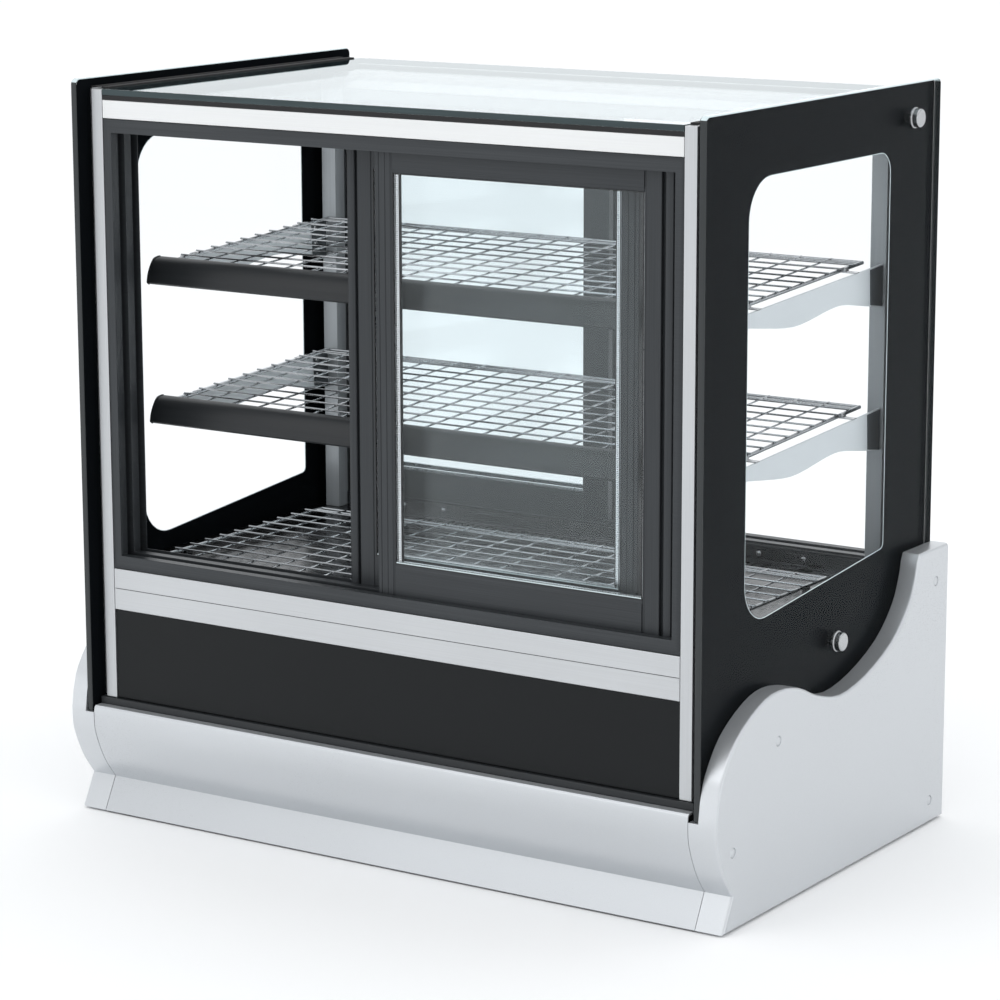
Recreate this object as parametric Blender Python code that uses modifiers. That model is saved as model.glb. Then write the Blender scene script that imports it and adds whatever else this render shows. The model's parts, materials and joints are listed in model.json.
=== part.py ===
"""Countertop bakery display case with sliding glass doors on both long sides.

Metres, +Z up.  The origin is on the floor under the middle of the case.  +X is
to the right for someone who stands at the front doors, and -Y is the front.
The rear doors, rear posts and rear bars are the front ones turned half a turn
about the vertical axis.
"""
import math

import bmesh
import bpy
from mathutils import Matrix, Vector

# ---- driving dimensions ----------------------------------------------------
WIDTH = 0.914                # over the two side covers
DEPTH = 0.560                # from the bulge of the front apron to the rear edge
HEIGHT = 0.904               # floor to the top edge of the side glass
GAP = 0.0003                 # clearance between neighbouring pieces

GLASS_OUT = 0.433            # outer face of a side glass, from the centre plane
GLASS_T = 0.008
GLASS_IN = GLASS_OUT - GLASS_T
GLASS_DEPTH = 0.554
FRONT = -GLASS_DEPTH / 2     # front edge of the side glass
BORDER_T = 0.0004            # printed border on the inner face of the glass
BORDER_SET = 0.0012          # how far it stays off the edges of the glass

STANDOFFS = {"upper": (0.4806, 0.8630), "lower": (0.3100, 0.2720)}    # from the front edge, and z

BASE_IN = 0.4206             # seam between the front apron and a side cover
COVER_T = 0.003
LEDGE_Z = 0.1315             # ledge that the side glass stands on

POST_IN = 0.3983
POST_OUT = GLASS_IN - BORDER_T - 0.0006
POST_SET = 0.015             # post face, behind the front edge of the glass
FRAME_BACK = 0.066           # inner end of posts and bars, from that same edge
POST_BASE = 0.1495
BAR_IN = POST_IN - 0.0005    # half length of the bars between the posts

LOWER_BAR = (0.2610, 0.3118)
HEADER_BAR = (0.8580, 0.8795)
TOP_GLASS = (0.8853, 0.8925)

DOORWAY_OUT = POST_IN - GAP  # half width outside the black door surround
DOORWAY_IN = 0.3865
SILL_Z = (0.3122, 0.3285)
HEAD_Z = (0.8410, 0.8576)
TRACKS = (0.0280, 0.0524)    # front faces of the outer and the inner track
TRACK_W = 0.0124
DOOR_T = 0.0114
DOOR_W = 0.3917
DOOR_Z = (0.3175, 0.8500)
DOOR_EDGE = 0.3775           # outer edge of a closed door
PULL_STILE = 0.037
MEET_STILE = 0.0240
DOOR_GLASS_Z = (0.3650, 0.8160)
DOOR_GLASS_T = 0.0080
DOOR_LAP = 0.0050            # how far the glass goes into the door frame
LEFT_DOOR_OPEN = 0.3060      # how far the left front door is slid open at rest
REAR_DOOR_OPEN = 0.3633      # and the rear door behind the right half of the case

DECK_Z = 0.3080
SHEET = 0.002

SHELF_TILT = math.radians(3.1)
SHELF_REAR = 0.452           # rear rod of a shelf, from the front edge of the glass
SHELF_DEPTH = 0.334
SHELF_HALF = 0.3890
SHELF_Z = {"upper": 0.6935, "lower": 0.5215}     # wire height at the rear rod
WIRE = 0.0044
RAIL_HALF = 0.4065
TAB_Z = (-0.0032, -0.0010)   # tabs that rest on the brackets, from the middle of the wires
RACK_HALF = 0.3720
RACK_SET = 0.0730            # front edge of the deck rack
RACK_RISE = 0.0120           # middle of its wires, above the deck
PAD_REACH = 0.1160           # pads that carry it, from its middle line

UPRIGHT_IN = 0.3880
UPRIGHT_OUT = 0.4090
UPRIGHT_SET = 0.4680         # front face of an upright
BRACKET_X = 0.4040           # middle plane of a bracket plate
BRACKET_T = 0.0030
HOOKS = (-0.0120, -0.0440)   # heights of a bracket's two hooks, from the shelf wires
SLOT_H = 0.0130
AIR_SLOTS = 36               # along the rear edge of the deck
AIR_PITCH = 0.0145
AIR_SLOT_W = 0.0070

SWITCH = (0.095, 0.2050)     # x and z on the rear panel
SWITCH_LEAN = math.radians(-8)
KNOB = (-0.010, 0.2050)
GLAND = (-0.330, 0.2000)

SPINDLE = (0.0, 0.020, 0.0)  # blower axis
WHEEL_R = 0.055


# ---- small tools -----------------------------------------------------------
def clear_scene():
    for obj in list(bpy.data.objects):
        bpy.data.objects.remove(obj, do_unlink=True)


def collection(name):
    found = bpy.data.collections.get(name) or bpy.data.collections.new(name)
    if name not in bpy.context.scene.collection.children:
        bpy.context.scene.collection.children.link(found)
    return found


clear_scene()
PARTS = collection("bakery_display_case")
CUTTERS = collection("cutters")
FINISH = {
    "silver_paint": ((0.62, 0.64, 0.66), 0.35, 0.6),
    "aluminium": ((0.72, 0.73, 0.74), 0.35, 1.0),
    "black_frame": ((0.045, 0.050, 0.055), 0.45, 0.3),
    "black_print": ((0.020, 0.022, 0.025), 0.10, 0.0),
    "glass": ((0.80, 0.88, 0.88), 0.02, 0.0),
    "stainless": ((0.60, 0.61, 0.62), 0.28, 1.0),
    "chrome": ((0.80, 0.81, 0.82), 0.10, 1.0),
    "bracket_paint": ((0.60, 0.64, 0.67), 0.45, 0.0),
    "rubber": ((0.030, 0.030, 0.030), 0.80, 0.0),
    "plastic": ((0.030, 0.031, 0.033), 0.40, 0.0),
    "galvanised": ((0.50, 0.51, 0.52), 0.50, 1.0),
    "lamp": ((0.90, 0.90, 0.86), 0.40, 0.0),
}


def material(name):
    mat = bpy.data.materials.get(name)
    if mat is None:
        color, rough, metal = FINISH[name]
        mat = bpy.data.materials.new(name)
        mat.use_nodes = True
        shader = mat.node_tree.nodes["Principled BSDF"]
        shader.inputs["Base Color"].default_value = (*color, 1.0)
        shader.inputs["Roughness"].default_value = rough
        shader.inputs["Metallic"].default_value = metal
    return mat


def link(obj, finish):
    """A named part with a finish, or a cutter when the finish is None."""
    for owner in obj.users_collection:
        owner.objects.unlink(obj)
    if finish is None:
        CUTTERS.objects.link(obj)
        obj.hide_render = True
        obj.display_type = "WIRE"
    else:
        PARTS.objects.link(obj)
        obj.data.materials.clear()
        obj.data.materials.append(material(finish))
    return obj


def mesh_object(name, bm, finish):
    mesh = bpy.data.meshes.new(name)
    bm.to_mesh(mesh)
    bm.free()
    return link(bpy.data.objects.new(name, mesh), finish)


def box(name, low, high, finish=None, bevel=0.0):
    """A box between two corners, with its origin at its middle."""
    low, high = Vector(low), Vector(high)
    bm = bmesh.new()
    bmesh.ops.create_cube(bm, size=1.0)
    bmesh.ops.scale(bm, vec=high - low, verts=bm.verts)
    obj = mesh_object(name, bm, finish)
    obj.location = (low + high) / 2
    if bevel:
        soften(obj, bevel)
    return obj


def soften(obj, width):
    mod = obj.modifiers.new("edges", "BEVEL")
    mod.width = width
    mod.segments = 1
    mod.limit_method = "ANGLE"
    mod.angle_limit = math.radians(50)


def bake(obj):
    """Turn a curve, or a mesh with modifiers, into a plain mesh in world space."""
    deps = bpy.context.evaluated_depsgraph_get()
    deps.update()
    mesh = bpy.data.meshes.new_from_object(obj.evaluated_get(deps), depsgraph=deps)
    mesh.transform(obj.matrix_world)
    bm = bmesh.new()
    bm.from_mesh(mesh)
    bmesh.ops.remove_doubles(bm, verts=bm.verts, dist=0.00001)
    bmesh.ops.recalc_face_normals(bm, faces=bm.faces)
    bm.to_mesh(mesh)
    bm.free()
    name, owners = obj.name, list(obj.users_collection)
    hidden, display = obj.hide_render, obj.display_type
    bpy.data.objects.remove(obj, do_unlink=True)
    solid = bpy.data.objects.new(name, mesh)
    solid.hide_render, solid.display_type = hidden, display
    for owner in owners:
        owner.objects.link(solid)
    mesh.name = name
    return solid


AXES = {   # local x, y and z of an outline extruded along each world axis
    "X": Matrix(((0, 0, 1), (1, 0, 0), (0, 1, 0))).to_4x4(),
    "Y": Matrix(((1, 0, 0), (0, 0, -1), (0, 1, 0))).to_4x4(),
    "Z": Matrix.Identity(4),
}


def prism(name, outline, axis, low, high, finish=None):
    """A flat outline extruded along a world axis, from low to high."""
    low, high = min(low, high), max(low, high)
    curve = bpy.data.curves.new(name, "CURVE")
    curve.dimensions = "2D"
    curve.fill_mode = "BOTH"
    curve.extrude = (high - low) / 2
    spline = curve.splines.new("POLY")
    spline.points.add(len(outline) - 1)
    for point, (u, v) in zip(spline.points, outline):
        point.co = (u, v, 0.0, 1.0)
    spline.use_cyclic_u = True
    obj = link(bpy.data.objects.new(name, curve), finish)
    middle = (low + high) / 2
    shift = {"X": (middle, 0, 0), "Y": (0, middle, 0), "Z": (0, 0, middle)}[axis]
    obj.matrix_world = Matrix.Translation(shift) @ AXES[axis]
    bpy.context.view_layer.update()
    return bake(obj)


def tube(name, points, radius, finish=None, sides=2):
    """A round wire through a list of points, with filled ends."""
    curve = bpy.data.curves.new(name, "CURVE")
    curve.dimensions = "3D"
    curve.bevel_depth = radius
    curve.bevel_resolution = sides
    curve.use_fill_caps = True
    spline = curve.splines.new("POLY")
    spline.points.add(len(points) - 1)
    for point, place in zip(spline.points, points):
        point.co = (*place, 1.0)
    return bake(link(bpy.data.objects.new(name, curve), finish))


def turned(name, profile, place, axis, finish=None, steps=24):
    """A profile of (radius, height), top to bottom, turned about an axis."""
    bm = bmesh.new()
    last = None
    for radius, height in profile:
        vert = bm.verts.new((radius, 0.0, height))
        if last is not None:
            bm.edges.new((last, vert))
        last = vert
    obj = mesh_object(name, bm, finish)
    mod = obj.modifiers.new("turn", "SCREW")
    mod.steps = steps
    mod.render_steps = steps
    mod.use_merge_vertices = True
    mod.merge_threshold = 0.00005
    mod.use_smooth_shade = True
    turn = Vector((0, 0, 1)).rotation_difference(Vector(axis)).to_matrix().to_4x4()
    obj.matrix_world = Matrix.Translation(place) @ turn
    bpy.context.view_layer.update()
    return obj


def combine(obj, others, operation="DIFFERENCE"):
    """Cut the others out of obj, or join them to it, and keep a plain mesh."""
    for other in others:
        mod = obj.modifiers.new(operation.lower(), "BOOLEAN")
        mod.operation = operation
        mod.solver = "EXACT"
        mod.object = other
    solid = bake(obj)
    if operation == "UNION":
        for other in others:
            bpy.data.objects.remove(other, do_unlink=True)
    return solid


def merged(name, pieces):
    """One cutter made of several separate solids that don't touch."""
    bm = bmesh.new()
    for piece in pieces:
        solid = bake(piece)
        bm.from_mesh(solid.data)
        bpy.data.objects.remove(solid, do_unlink=True)
    return mesh_object(name, bm, None)


def round_edges(obj, chosen, width, segments=3):
    """Round the edges whose two ends both pass the test."""
    bm = bmesh.new()
    bm.from_mesh(obj.data)
    bmesh.ops.dissolve_limit(bm, angle_limit=0.01, verts=bm.verts, edges=bm.edges)
    edges = [e for e in bm.edges if all(chosen(v.co) for v in e.verts)]
    bmesh.ops.bevel(bm, geom=edges, offset=width, segments=segments, profile=0.5,
                    affect="EDGES", clamp_overlap=True)
    bm.to_mesh(obj.data)
    bm.free()
    return obj


def turned_copy(obj, name):
    """The same solid half a turn about the vertical axis, for the rear side."""
    copy = link(bpy.data.objects.new(name, obj.data.copy()), obj.data.materials[0].name)
    copy.rotation_euler = (0.0, 0.0, math.pi)
    return copy


def put_origin(obj, place):
    """Move a part's origin to a world point without moving the part."""
    obj.data.transform(Matrix.Translation(-Vector(place)) @ obj.matrix_basis)
    obj.matrix_basis = Matrix.Translation(place)
    return obj


# ---- outlines --------------------------------------------------------------
def rounded(corners, radii, steps=4):
    """A polygon with each corner replaced by an arc of its own radius."""
    points = []
    count = len(corners)
    for i, (corner, radius) in enumerate(zip(corners, radii)):
        here = Vector(corner)
        back = (Vector(corners[i - 1]) - here).normalized()
        ahead = (Vector(corners[(i + 1) % count]) - here).normalized()
        if radius <= 0:
            points.append(here)
            continue
        half = back.angle(ahead) / 2
        reach = radius / math.tan(half)
        centre = here + (back + ahead).normalized() * (radius / math.sin(half))
        start, end = here + back * reach - centre, here + ahead * reach - centre
        sweep = start.angle_signed(end)
        for k in range(steps + 1):
            points.append(centre + Matrix.Rotation(-sweep * k / steps, 2) @ start)
    return [(p.x, p.y) for p in points]


def smooth(points, steps=3):
    """A curve through all the points (Catmull-Rom), ends included."""
    pts = [Vector(p) for p in points]
    pts = [2 * pts[0] - pts[1]] + pts + [2 * pts[-1] - pts[-2]]
    out = []
    for a, b, c, d in zip(pts, pts[1:], pts[2:], pts[3:]):
        for k in range(steps):
            t = k / steps
            out.append(0.5 * (2 * b + (c - a) * t + (2 * a - 5 * b + 4 * c - d) * t ** 2
                              + (3 * b - a - 3 * c + d) * t ** 3))
    return [(p.x, p.y) for p in out + [pts[-2]]]


def offset(points, distance, closed=False):
    """Each point moved sideways, to the left of the direction of travel."""
    pts = [Vector(p) for p in points]
    out = []
    for i, here in enumerate(pts):
        before = pts[i - 1] if (closed or i) else here
        after = pts[(i + 1) % len(pts)] if (closed or i < len(pts) - 1) else here
        one = (here - before).normalized() if before != here else (after - here).normalized()
        two = (after - here).normalized() if after != here else one
        normals = Vector((-one.y, one.x)), Vector((-two.y, two.x))
        middle = (normals[0] + normals[1]).normalized()
        out.append(here + middle * distance / max(0.5, middle.dot(normals[0])))
    return [(p.x, p.y) for p in out]


def strip(points, thickness):
    """A closed outline of a bent sheet whose one face is the given line."""
    return list(points) + offset(points, thickness)[::-1]


def clipped(points, level, keep_above):
    """The part of a closed outline above or below a height."""
    sign = 1 if keep_above else -1
    out = []
    for (x0, z0), (x1, z1) in zip(points, list(points[1:]) + [points[0]]):
        if (z0 - level) * sign >= 0:
            out.append((x0, z0))
        if (z0 - level) * (z1 - level) < 0:
            t = (level - z0) / (z1 - z0)
            out.append((x0 + (x1 - x0) * t, level))
    return out


# ---- base ------------------------------------------------------------------
def apron_line():
    """Front section of the base, top to bottom, as (y, z)."""
    bulge = smooth([(0.000, 0.1405), (-0.0030, 0.135), (-0.0021, 0.111),
                    (0.0060, 0.087), (0.0180, 0.0640), (0.0345, 0.0420)], 3)
    return [(FRONT + y, z) for y, z in bulge + [(0.0140, 0.0025)]]


def cover_outline():
    """Side section of the base, anticlockwise seen with +Y to the right."""
    wave = smooth([(0.4765, 0.3440), (0.4700, 0.3180), (0.4520, 0.2850), (0.4100, 0.2510),
                   (0.3450, 0.2260), (0.2820, 0.2170), (0.2280, 0.2290), (0.1850, 0.2470),
                   (0.1360, 0.2550), (0.0920, 0.2470), (0.0420, 0.2210), (0.0100, 0.1830),
                   (0.0000, 0.1550)], 3)
    rear = DEPTH / 2 - FRONT
    shape = [(rear, 0.0025), (rear, 0.3425), (rear - 0.0025, 0.3450), (0.4795, 0.3450)]
    return [(FRONT + y, z) for y, z in shape + wave[1:]] + apron_line()[2:]


def base_covers():
    """Hollow side covers; a lower inner part carries the side glass on a ledge."""
    ridge = WIDTH / 2
    outer = cover_outline()
    inner = offset(outer, COVER_T, closed=True)
    deep = ridge - COVER_T
    for name, side in (("left_base_cover", -1), ("right_base_cover", 1)):
        cover = prism(name, outer, "X", side * BASE_IN, side * ridge, "silver_paint")
        round_edges(cover, lambda p: abs(p.x) > ridge - 0.0005, 0.005)
        low, high = sorted((side * (BASE_IN - 0.01), side * (GLASS_OUT + GAP)))
        glass_room = box("glass_room", (low, -0.4, LEDGE_Z), (high, 0.4, 0.4))
        cover = combine(cover, [glass_room])
        pockets = [prism("upper_pocket", clipped(inner, LEDGE_Z, True), "X",
                         side * (GLASS_OUT - 0.002), side * deep),
                   prism("lower_pocket", clipped(inner, LEDGE_Z - COVER_T, False), "X",
                         side * (BASE_IN - 0.004), side * deep)]
        combine(cover, pockets)


def base():
    front_wall, back_wall = FRONT + 0.042, -FRONT - 0.0150
    half = BASE_IN - 0.0011
    rim = 0.1245
    tray = box("base_tray", (-half, front_wall, 0.012), (half, back_wall, rim), "galvanised")
    hollow = box("tray_hollow", (-half + SHEET, front_wall + SHEET, 0.012 + SHEET),
                 (half - SHEET, back_wall - SHEET, rim + 0.01))
    combine(tray, [hollow])

    low, high = (-BASE_IN + GAP, FRONT + 0.0120), (BASE_IN - GAP, -FRONT - 0.0135)
    inside = FRAME_BACK + 0.002
    well = ((-0.392, FRONT + inside), (0.392, -FRONT - inside))
    ring = box("base_frame", (*low, rim + GAP), (*high, POST_BASE - 0.0005), "galvanised")
    through = box("ring_well", (*well[0], 0.10), (*well[1], 0.20))
    wall = 0.0025
    channel = box("ring_channel", (low[0] + wall, low[1] + wall, 0.10),
                  (high[0] - wall, high[1] - wall, POST_BASE - 0.0005 - wall))
    core = box("ring_core", (well[0][0] - wall, well[0][1] - wall, 0.09),
               (well[1][0] + wall, well[1][1] + wall, 0.21))
    channel = combine(channel, [core])
    combine(ring, [through, channel])

    for end, y in (("front", FRONT + 0.085), ("rear", -FRONT - 0.060)):
        for hand, x in (("left", -0.37), ("right", 0.37)):
            turned(f"foot_{end}_{hand}", [(0, 0.0117), (0.019, 0.0117), (0.020, 0.0105),
                                          (0.017, 0.0), (0, 0)], (x, y, 0), (0, 0, 1),
                   "rubber", 20)

    line = apron_line()
    lip = [(FRONT + 0.011, 0.1405)] + line
    prism("front_apron", strip(lip, SHEET), "X", -BASE_IN + 0.0006, BASE_IN - 0.0006,
          "silver_paint")

    y = FRONT + POST_SET + 0.002
    flange = [(y + 0.018, 0.2604), (y, 0.2604), (y, 0.1500), (y + 0.018, 0.1500)]
    prism("front_lower_panel", strip(flange, SHEET), "X", -BAR_IN, BAR_IN, "black_frame")


def louvres(y0, y1):
    """Two banks of cooling slots for the rear panel."""
    slots = []
    for middle in (-0.24, 0.24):
        for row in range(8):
            z = 0.050 + row * 0.014
            slots.append(box("slot", (middle - 0.05, y0, z), (middle + 0.05, y1, z + 0.005)))
    return slots


def rear_panel():
    y0, y1 = -FRONT - 0.0130, -FRONT - 0.0110
    panel = box("rear_base_panel", (-BASE_IN + 0.0006, y0, 0.010),
                (BASE_IN - 0.0006, y1, LOWER_BAR[0] - 0.0005), "silver_paint")
    holes = louvres(y0 - 0.01, y1 + 0.01)
    holes.append(box("switch_hole", (SWITCH[0] - 0.0110, y0 - 0.01, SWITCH[1] - 0.0140),
                     (SWITCH[0] + 0.0110, y1 + 0.01, SWITCH[1] + 0.0140)))
    for (x, z), radius in ((KNOB, 0.0042), (GLAND, 0.0085)):
        holes.append(turned("round_hole", [(0, 0.01), (radius, 0.01), (radius, -0.01), (0, -0.01)],
                            (x, y1, z), (0, 1, 0), None, 16))
    combine(panel, [merged("panel_holes", holes)])

    turned("thermostat_knob", [(0, 0.0130), (0.0145, 0.0130), (0.0165, 0.0115), (0.0185, 0.0),
                               (0.0035, 0.0), (0.0035, -0.020), (0, -0.020)],
           (KNOB[0], y1 + 0.0006, KNOB[1]), (0, 1, 0), "plastic", 24)
    half_w, half_h = 0.0105, 0.0135
    rocker = [(-half_h, 0.0), (-half_h, -0.008), (half_h, -0.008), (half_h, 0.0),
              (half_h - 0.001, 0.0045), (0, 0.0020), (-half_h + 0.001, 0.0045)]
    rocker = [(y1 + v, SWITCH[1] + u * 0.93) for u, v in rocker]
    switch = prism("power_switch", rocker, "X", SWITCH[0] - half_w, SWITCH[0] + half_w, "plastic")
    put_origin(switch, (SWITCH[0], y1 - 0.004, SWITCH[1])).rotation_euler.x = SWITCH_LEAN
    turned("cable_gland", [(0, 0.0138), (0.0075, 0.0138), (0.0110, 0.010), (0.0125, 0.010),
                           (0.0125, GAP), (0.0080, GAP), (0.0080, -0.012), (0, -0.012)],
           (GLAND[0], y1, GLAND[1]), (0, 1, 0), "plastic", 18)


# ---- upright structure -----------------------------------------------------
def frame_posts():
    face, back = FRONT + POST_SET, FRONT + FRAME_BACK
    cove, wall = 0.010, 0.003
    arc = [(POST_OUT - cove * math.cos(a), face + cove * math.sin(a))
           for a in (math.radians(15 * k) for k in range(7))]
    for hand, side in (("left", -1), ("right", 1)):
        shape = [(POST_IN, face)] + arc + [(POST_OUT, back), (POST_IN, back)]
        shape = [(side * x, y) for x, y in shape]
        post = prism(f"post_front_{hand}", shape, "Z", POST_BASE, TOP_GLASS[1] - 0.001, "aluminium")
        notch = box("post_notch", (-0.5, FRONT + 0.027, HEADER_BAR[1]), (0.5, back + 0.01, 0.95))
        inner, outer = sorted((side * (POST_IN + wall), side * (POST_OUT - wall)))
        bore = box("post_bore", (inner, FRONT + 0.030, 0.10), (outer, back - wall, 0.95))
        post = combine(post, [notch, bore])
        turned_copy(post, "post_rear_" + ("right" if side < 0 else "left"))


def bars():
    face, back = FRONT + POST_SET, FRONT + FRAME_BACK
    for name, (low, high), wall in (("lower_bar", LOWER_BAR, 0.003), ("header_bar", HEADER_BAR, 0.0025)):
        bar = box("front_" + name, (-BAR_IN, face, low), (BAR_IN, back, high), "aluminium", 0.0006)
        hollow = box("bar_hollow", (-0.5, face + wall, low + wall), (0.5, back - wall, high - wall))
        cutters = [hollow]
        if name == "lower_bar":
            cutters.append(box("bar_seam", (-0.5, face - 0.01, 0.2870), (0.5, face + 0.0008, 0.2878)))
        bar = combine(bar, cutters)
        turned_copy(bar, "rear_" + name)


def side_window():
    """Clear area of a side glass as (y, z), inside the printed border."""
    corners = [(0.109, 0.3260), (0.444, 0.3560), (0.444, 0.8270), (0.109, 0.8270)]
    points = rounded(corners, [0.045, 0.008, 0.025, 0.048], 6)
    return [(FRONT + y, z) for y, z in points]


def side_glass():
    low, high = LEDGE_Z + GAP, HEIGHT
    outline = rounded([(FRONT, low), (-FRONT, low), (-FRONT, high), (FRONT, high)],
                      [0, 0, 0.007, 0.007], 3)
    front, rear = FRONT + BORDER_SET, -FRONT - BORDER_SET
    under, over = low + BORDER_SET, high - BORDER_SET
    border = rounded([(front, under), (rear, under), (rear, over), (front, over)],
                     [0, 0, 0.006, 0.006], 3)
    for hand, side in (("left", -1), ("right", 1)):
        glass = prism(f"{hand}_side_glass", outline, "X", side * GLASS_IN, side * GLASS_OUT, "glass")
        stud_holes = [turned("stud_hole", [(0, 0.02), (0.0053, 0.02), (0.0053, -0.02), (0, -0.02)],
                             (side * GLASS_IN, FRONT + y, z), (1, 0, 0), None, 12)
                      for y, z in STANDOFFS.values()]
        holes = merged("stud_holes", stud_holes)
        combine(glass, [holes])
        print_out = GLASS_IN - GAP
        skin = prism(f"{hand}_glass_border", border, "X", side * (print_out - BORDER_T),
                     side * print_out, "black_print")
        window = prism("window", side_window(), "X", side * 0.41, side * 0.43)
        combine(skin, [window, holes])
        for level, (y, z) in STANDOFFS.items():
            turned(f"{hand}_{level}_standoff",
                   [(0, 0.0125), (0.0098, 0.0125), (0.0110, 0.0113), (0.0110, 0.0048),
                    (0.0125, 0.0040), (0.0125, GAP), (0.0050, GAP), (0.0050, -0.0088), (0, -0.0088)],
                   (side * GLASS_OUT, FRONT + y, z), (side, 0, 0), "stainless", 24)


def top():
    """The roof pane, and one gasket that carries it and fills its two sides."""
    edge = FRONT + POST_SET - 0.0005
    box("top_glass", (-BAR_IN, edge, TOP_GLASS[0]), (BAR_IN, -edge, TOP_GLASS[1]), "glass", 0.0008)
    bed, roof, under = HEADER_BAR[1] + GAP, TOP_GLASS[1], TOP_GLASS[0] - GAP
    side_rail = [(0.385, bed), (POST_OUT, bed), (POST_OUT, roof + 0.0015), (POST_OUT - 0.008, roof + 0.0015),
                 (POST_OUT - 0.009, roof - 0.0005), (POST_OUT - 0.015, roof - 0.0005),
                 (POST_OUT - 0.016, roof + 0.0015), (BAR_IN + GAP, roof + 0.0015),
                 (BAR_IN + GAP, under), (0.385, under)]
    reach = FRONT + 0.0273
    rails = [prism("top_gasket" if side < 0 else "rail", [(side * x, z) for x, z in side_rail],
                   "Y", reach, -reach, "rubber") for side in (-1, 1)]
    nip = 0.0001
    for side in (-1, 1):
        low, high = sorted((side * (edge + 0.0010), side * (FRONT + 0.040)))
        rails.append(box("cross", (-BAR_IN, low, bed + nip), (BAR_IN, high, under - nip), "rubber"))
    combine(rails[0], rails[1:], "UNION")


# ---- doors -----------------------------------------------------------------
def door_surrounds():
    face, back = FRONT + POST_SET + 0.001, FRONT + FRAME_BACK
    ring = box("front_door_surround", (-DOORWAY_OUT, face, SILL_Z[0]), (DOORWAY_OUT, back, HEAD_Z[1]),
               "black_frame", 0.0006)
    doorway = box("doorway", (-DOORWAY_IN, face - 0.01, SILL_Z[1]), (DOORWAY_IN, back + 0.01, HEAD_Z[0]))
    cutters = [doorway]
    for track in TRACKS:
        cutters.append(box("track", (-0.3960, FRONT + track, 0.3165),
                           (0.3960, FRONT + track + TRACK_W, 0.8512)))
    ring = combine(ring, cutters)
    turned_copy(ring, "rear_door_surround")


def door(name, left_edge, track, pull_side):
    """A door frame and its glass unit; pull_side is -1 where the pull is on the left."""
    y0 = FRONT + track + (TRACK_W - DOOR_T) / 2
    y1 = y0 + DOOR_T
    x0, x1 = left_edge, left_edge + DOOR_W
    stiles = (PULL_STILE, MEET_STILE) if pull_side < 0 else (MEET_STILE, PULL_STILE)
    g0, g1 = x0 + stiles[0], x1 - stiles[1]
    z0, z1 = DOOR_GLASS_Z
    leaf = box(name + "_frame", (x0, y0, DOOR_Z[0]), (x1, y1, DOOR_Z[1]), "black_frame", 0.0008)
    half = DOOR_GLASS_T / 2 + GAP
    middle = (y0 + y1) / 2
    reach = DOOR_LAP + GAP
    cutters = [box("door_light", (g0, y0 - 0.01, z0), (g1, y1 + 0.01, z1)),
               box("glass_groove", (g0 - reach, middle - half, z0 - reach),
                   (g1 + reach, middle + half, z1 + reach))]
    edge = x0 if pull_side < 0 else x1
    groove = sorted((edge - pull_side * 0.011, edge - pull_side * 0.015))
    cutters.append(box("finger_groove", (groove[0], y0 - 0.01, 0.30), (groove[1], y0 + 0.0055, 0.90)))
    leaf = combine(leaf, cutters)
    pane = box(name + "_glass", (g0 - DOOR_LAP, middle - DOOR_GLASS_T / 2, z0 - DOOR_LAP),
               (g1 + DOOR_LAP, middle + DOOR_GLASS_T / 2, z1 + DOOR_LAP), "glass")
    origin = ((x0 + x1) / 2, middle, DOOR_Z[0])
    return put_origin(leaf, origin), put_origin(bake(pane), origin)


def doors():
    closed_left = -DOOR_EDGE
    outer, inner = TRACKS
    closed_right = DOOR_EDGE - DOOR_W
    door("front_right_door", closed_right, outer, 1)
    door("front_left_door", closed_left + LEFT_DOOR_OPEN, inner, -1)
    for name, left_edge, track, pull in (("rear_left_door", closed_right, outer, 1),
                                         ("rear_right_door", closed_left + REAR_DOOR_OPEN, inner, -1)):
        leaf, pane = door("spare", left_edge, track, pull)
        for solid, ending in ((leaf, "_frame"), (pane, "_glass")):
            solid.name = name + ending
            solid.matrix_basis = Matrix.Rotation(math.pi, 4, "Z") @ solid.matrix_basis


# ---- shelves ---------------------------------------------------------------
def wire_grid(name, width, depth, columns, rows, finish="chrome"):
    """A flat welded grid: square wires round and between columns x rows windows."""
    bm = bmesh.new()
    bmesh.ops.create_grid(bm, x_segments=2 * columns + 1, y_segments=2 * rows + 1, size=0.5)
    steps_x, steps_y = 2 * columns + 1, 2 * rows + 1

    def place(value, steps, span):
        index = round((value + 0.5) * steps)
        pitch = (span - WIRE) / (steps // 2)
        return -span / 2 + (index // 2) * pitch + (index % 2) * WIRE

    for vert in bm.verts:
        vert.co = (place(vert.co.x, steps_x, width), place(vert.co.y, steps_y, depth), 0.0)
    windows = [f for f in bm.faces
               if min(max(v.co.x for v in f.verts) - min(v.co.x for v in f.verts),
                      max(v.co.y for v in f.verts) - min(v.co.y for v in f.verts)) > 2 * WIRE]
    bmesh.ops.delete(bm, geom=windows, context="FACES")
    bmesh.ops.recalc_face_normals(bm, faces=bm.faces)
    obj = mesh_object(name, bm, finish)
    mod = obj.modifiers.new("thickness", "SOLIDIFY")
    mod.thickness = WIRE
    mod.offset = 0.0
    return obj


def tilt_frame(level):
    """The tilted frame of a shelf: origin on the middle of its rear rod."""
    return (Matrix.Translation((0, FRONT + SHELF_REAR, SHELF_Z[level]))
            @ Matrix.Rotation(SHELF_TILT, 4, "X"))


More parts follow.
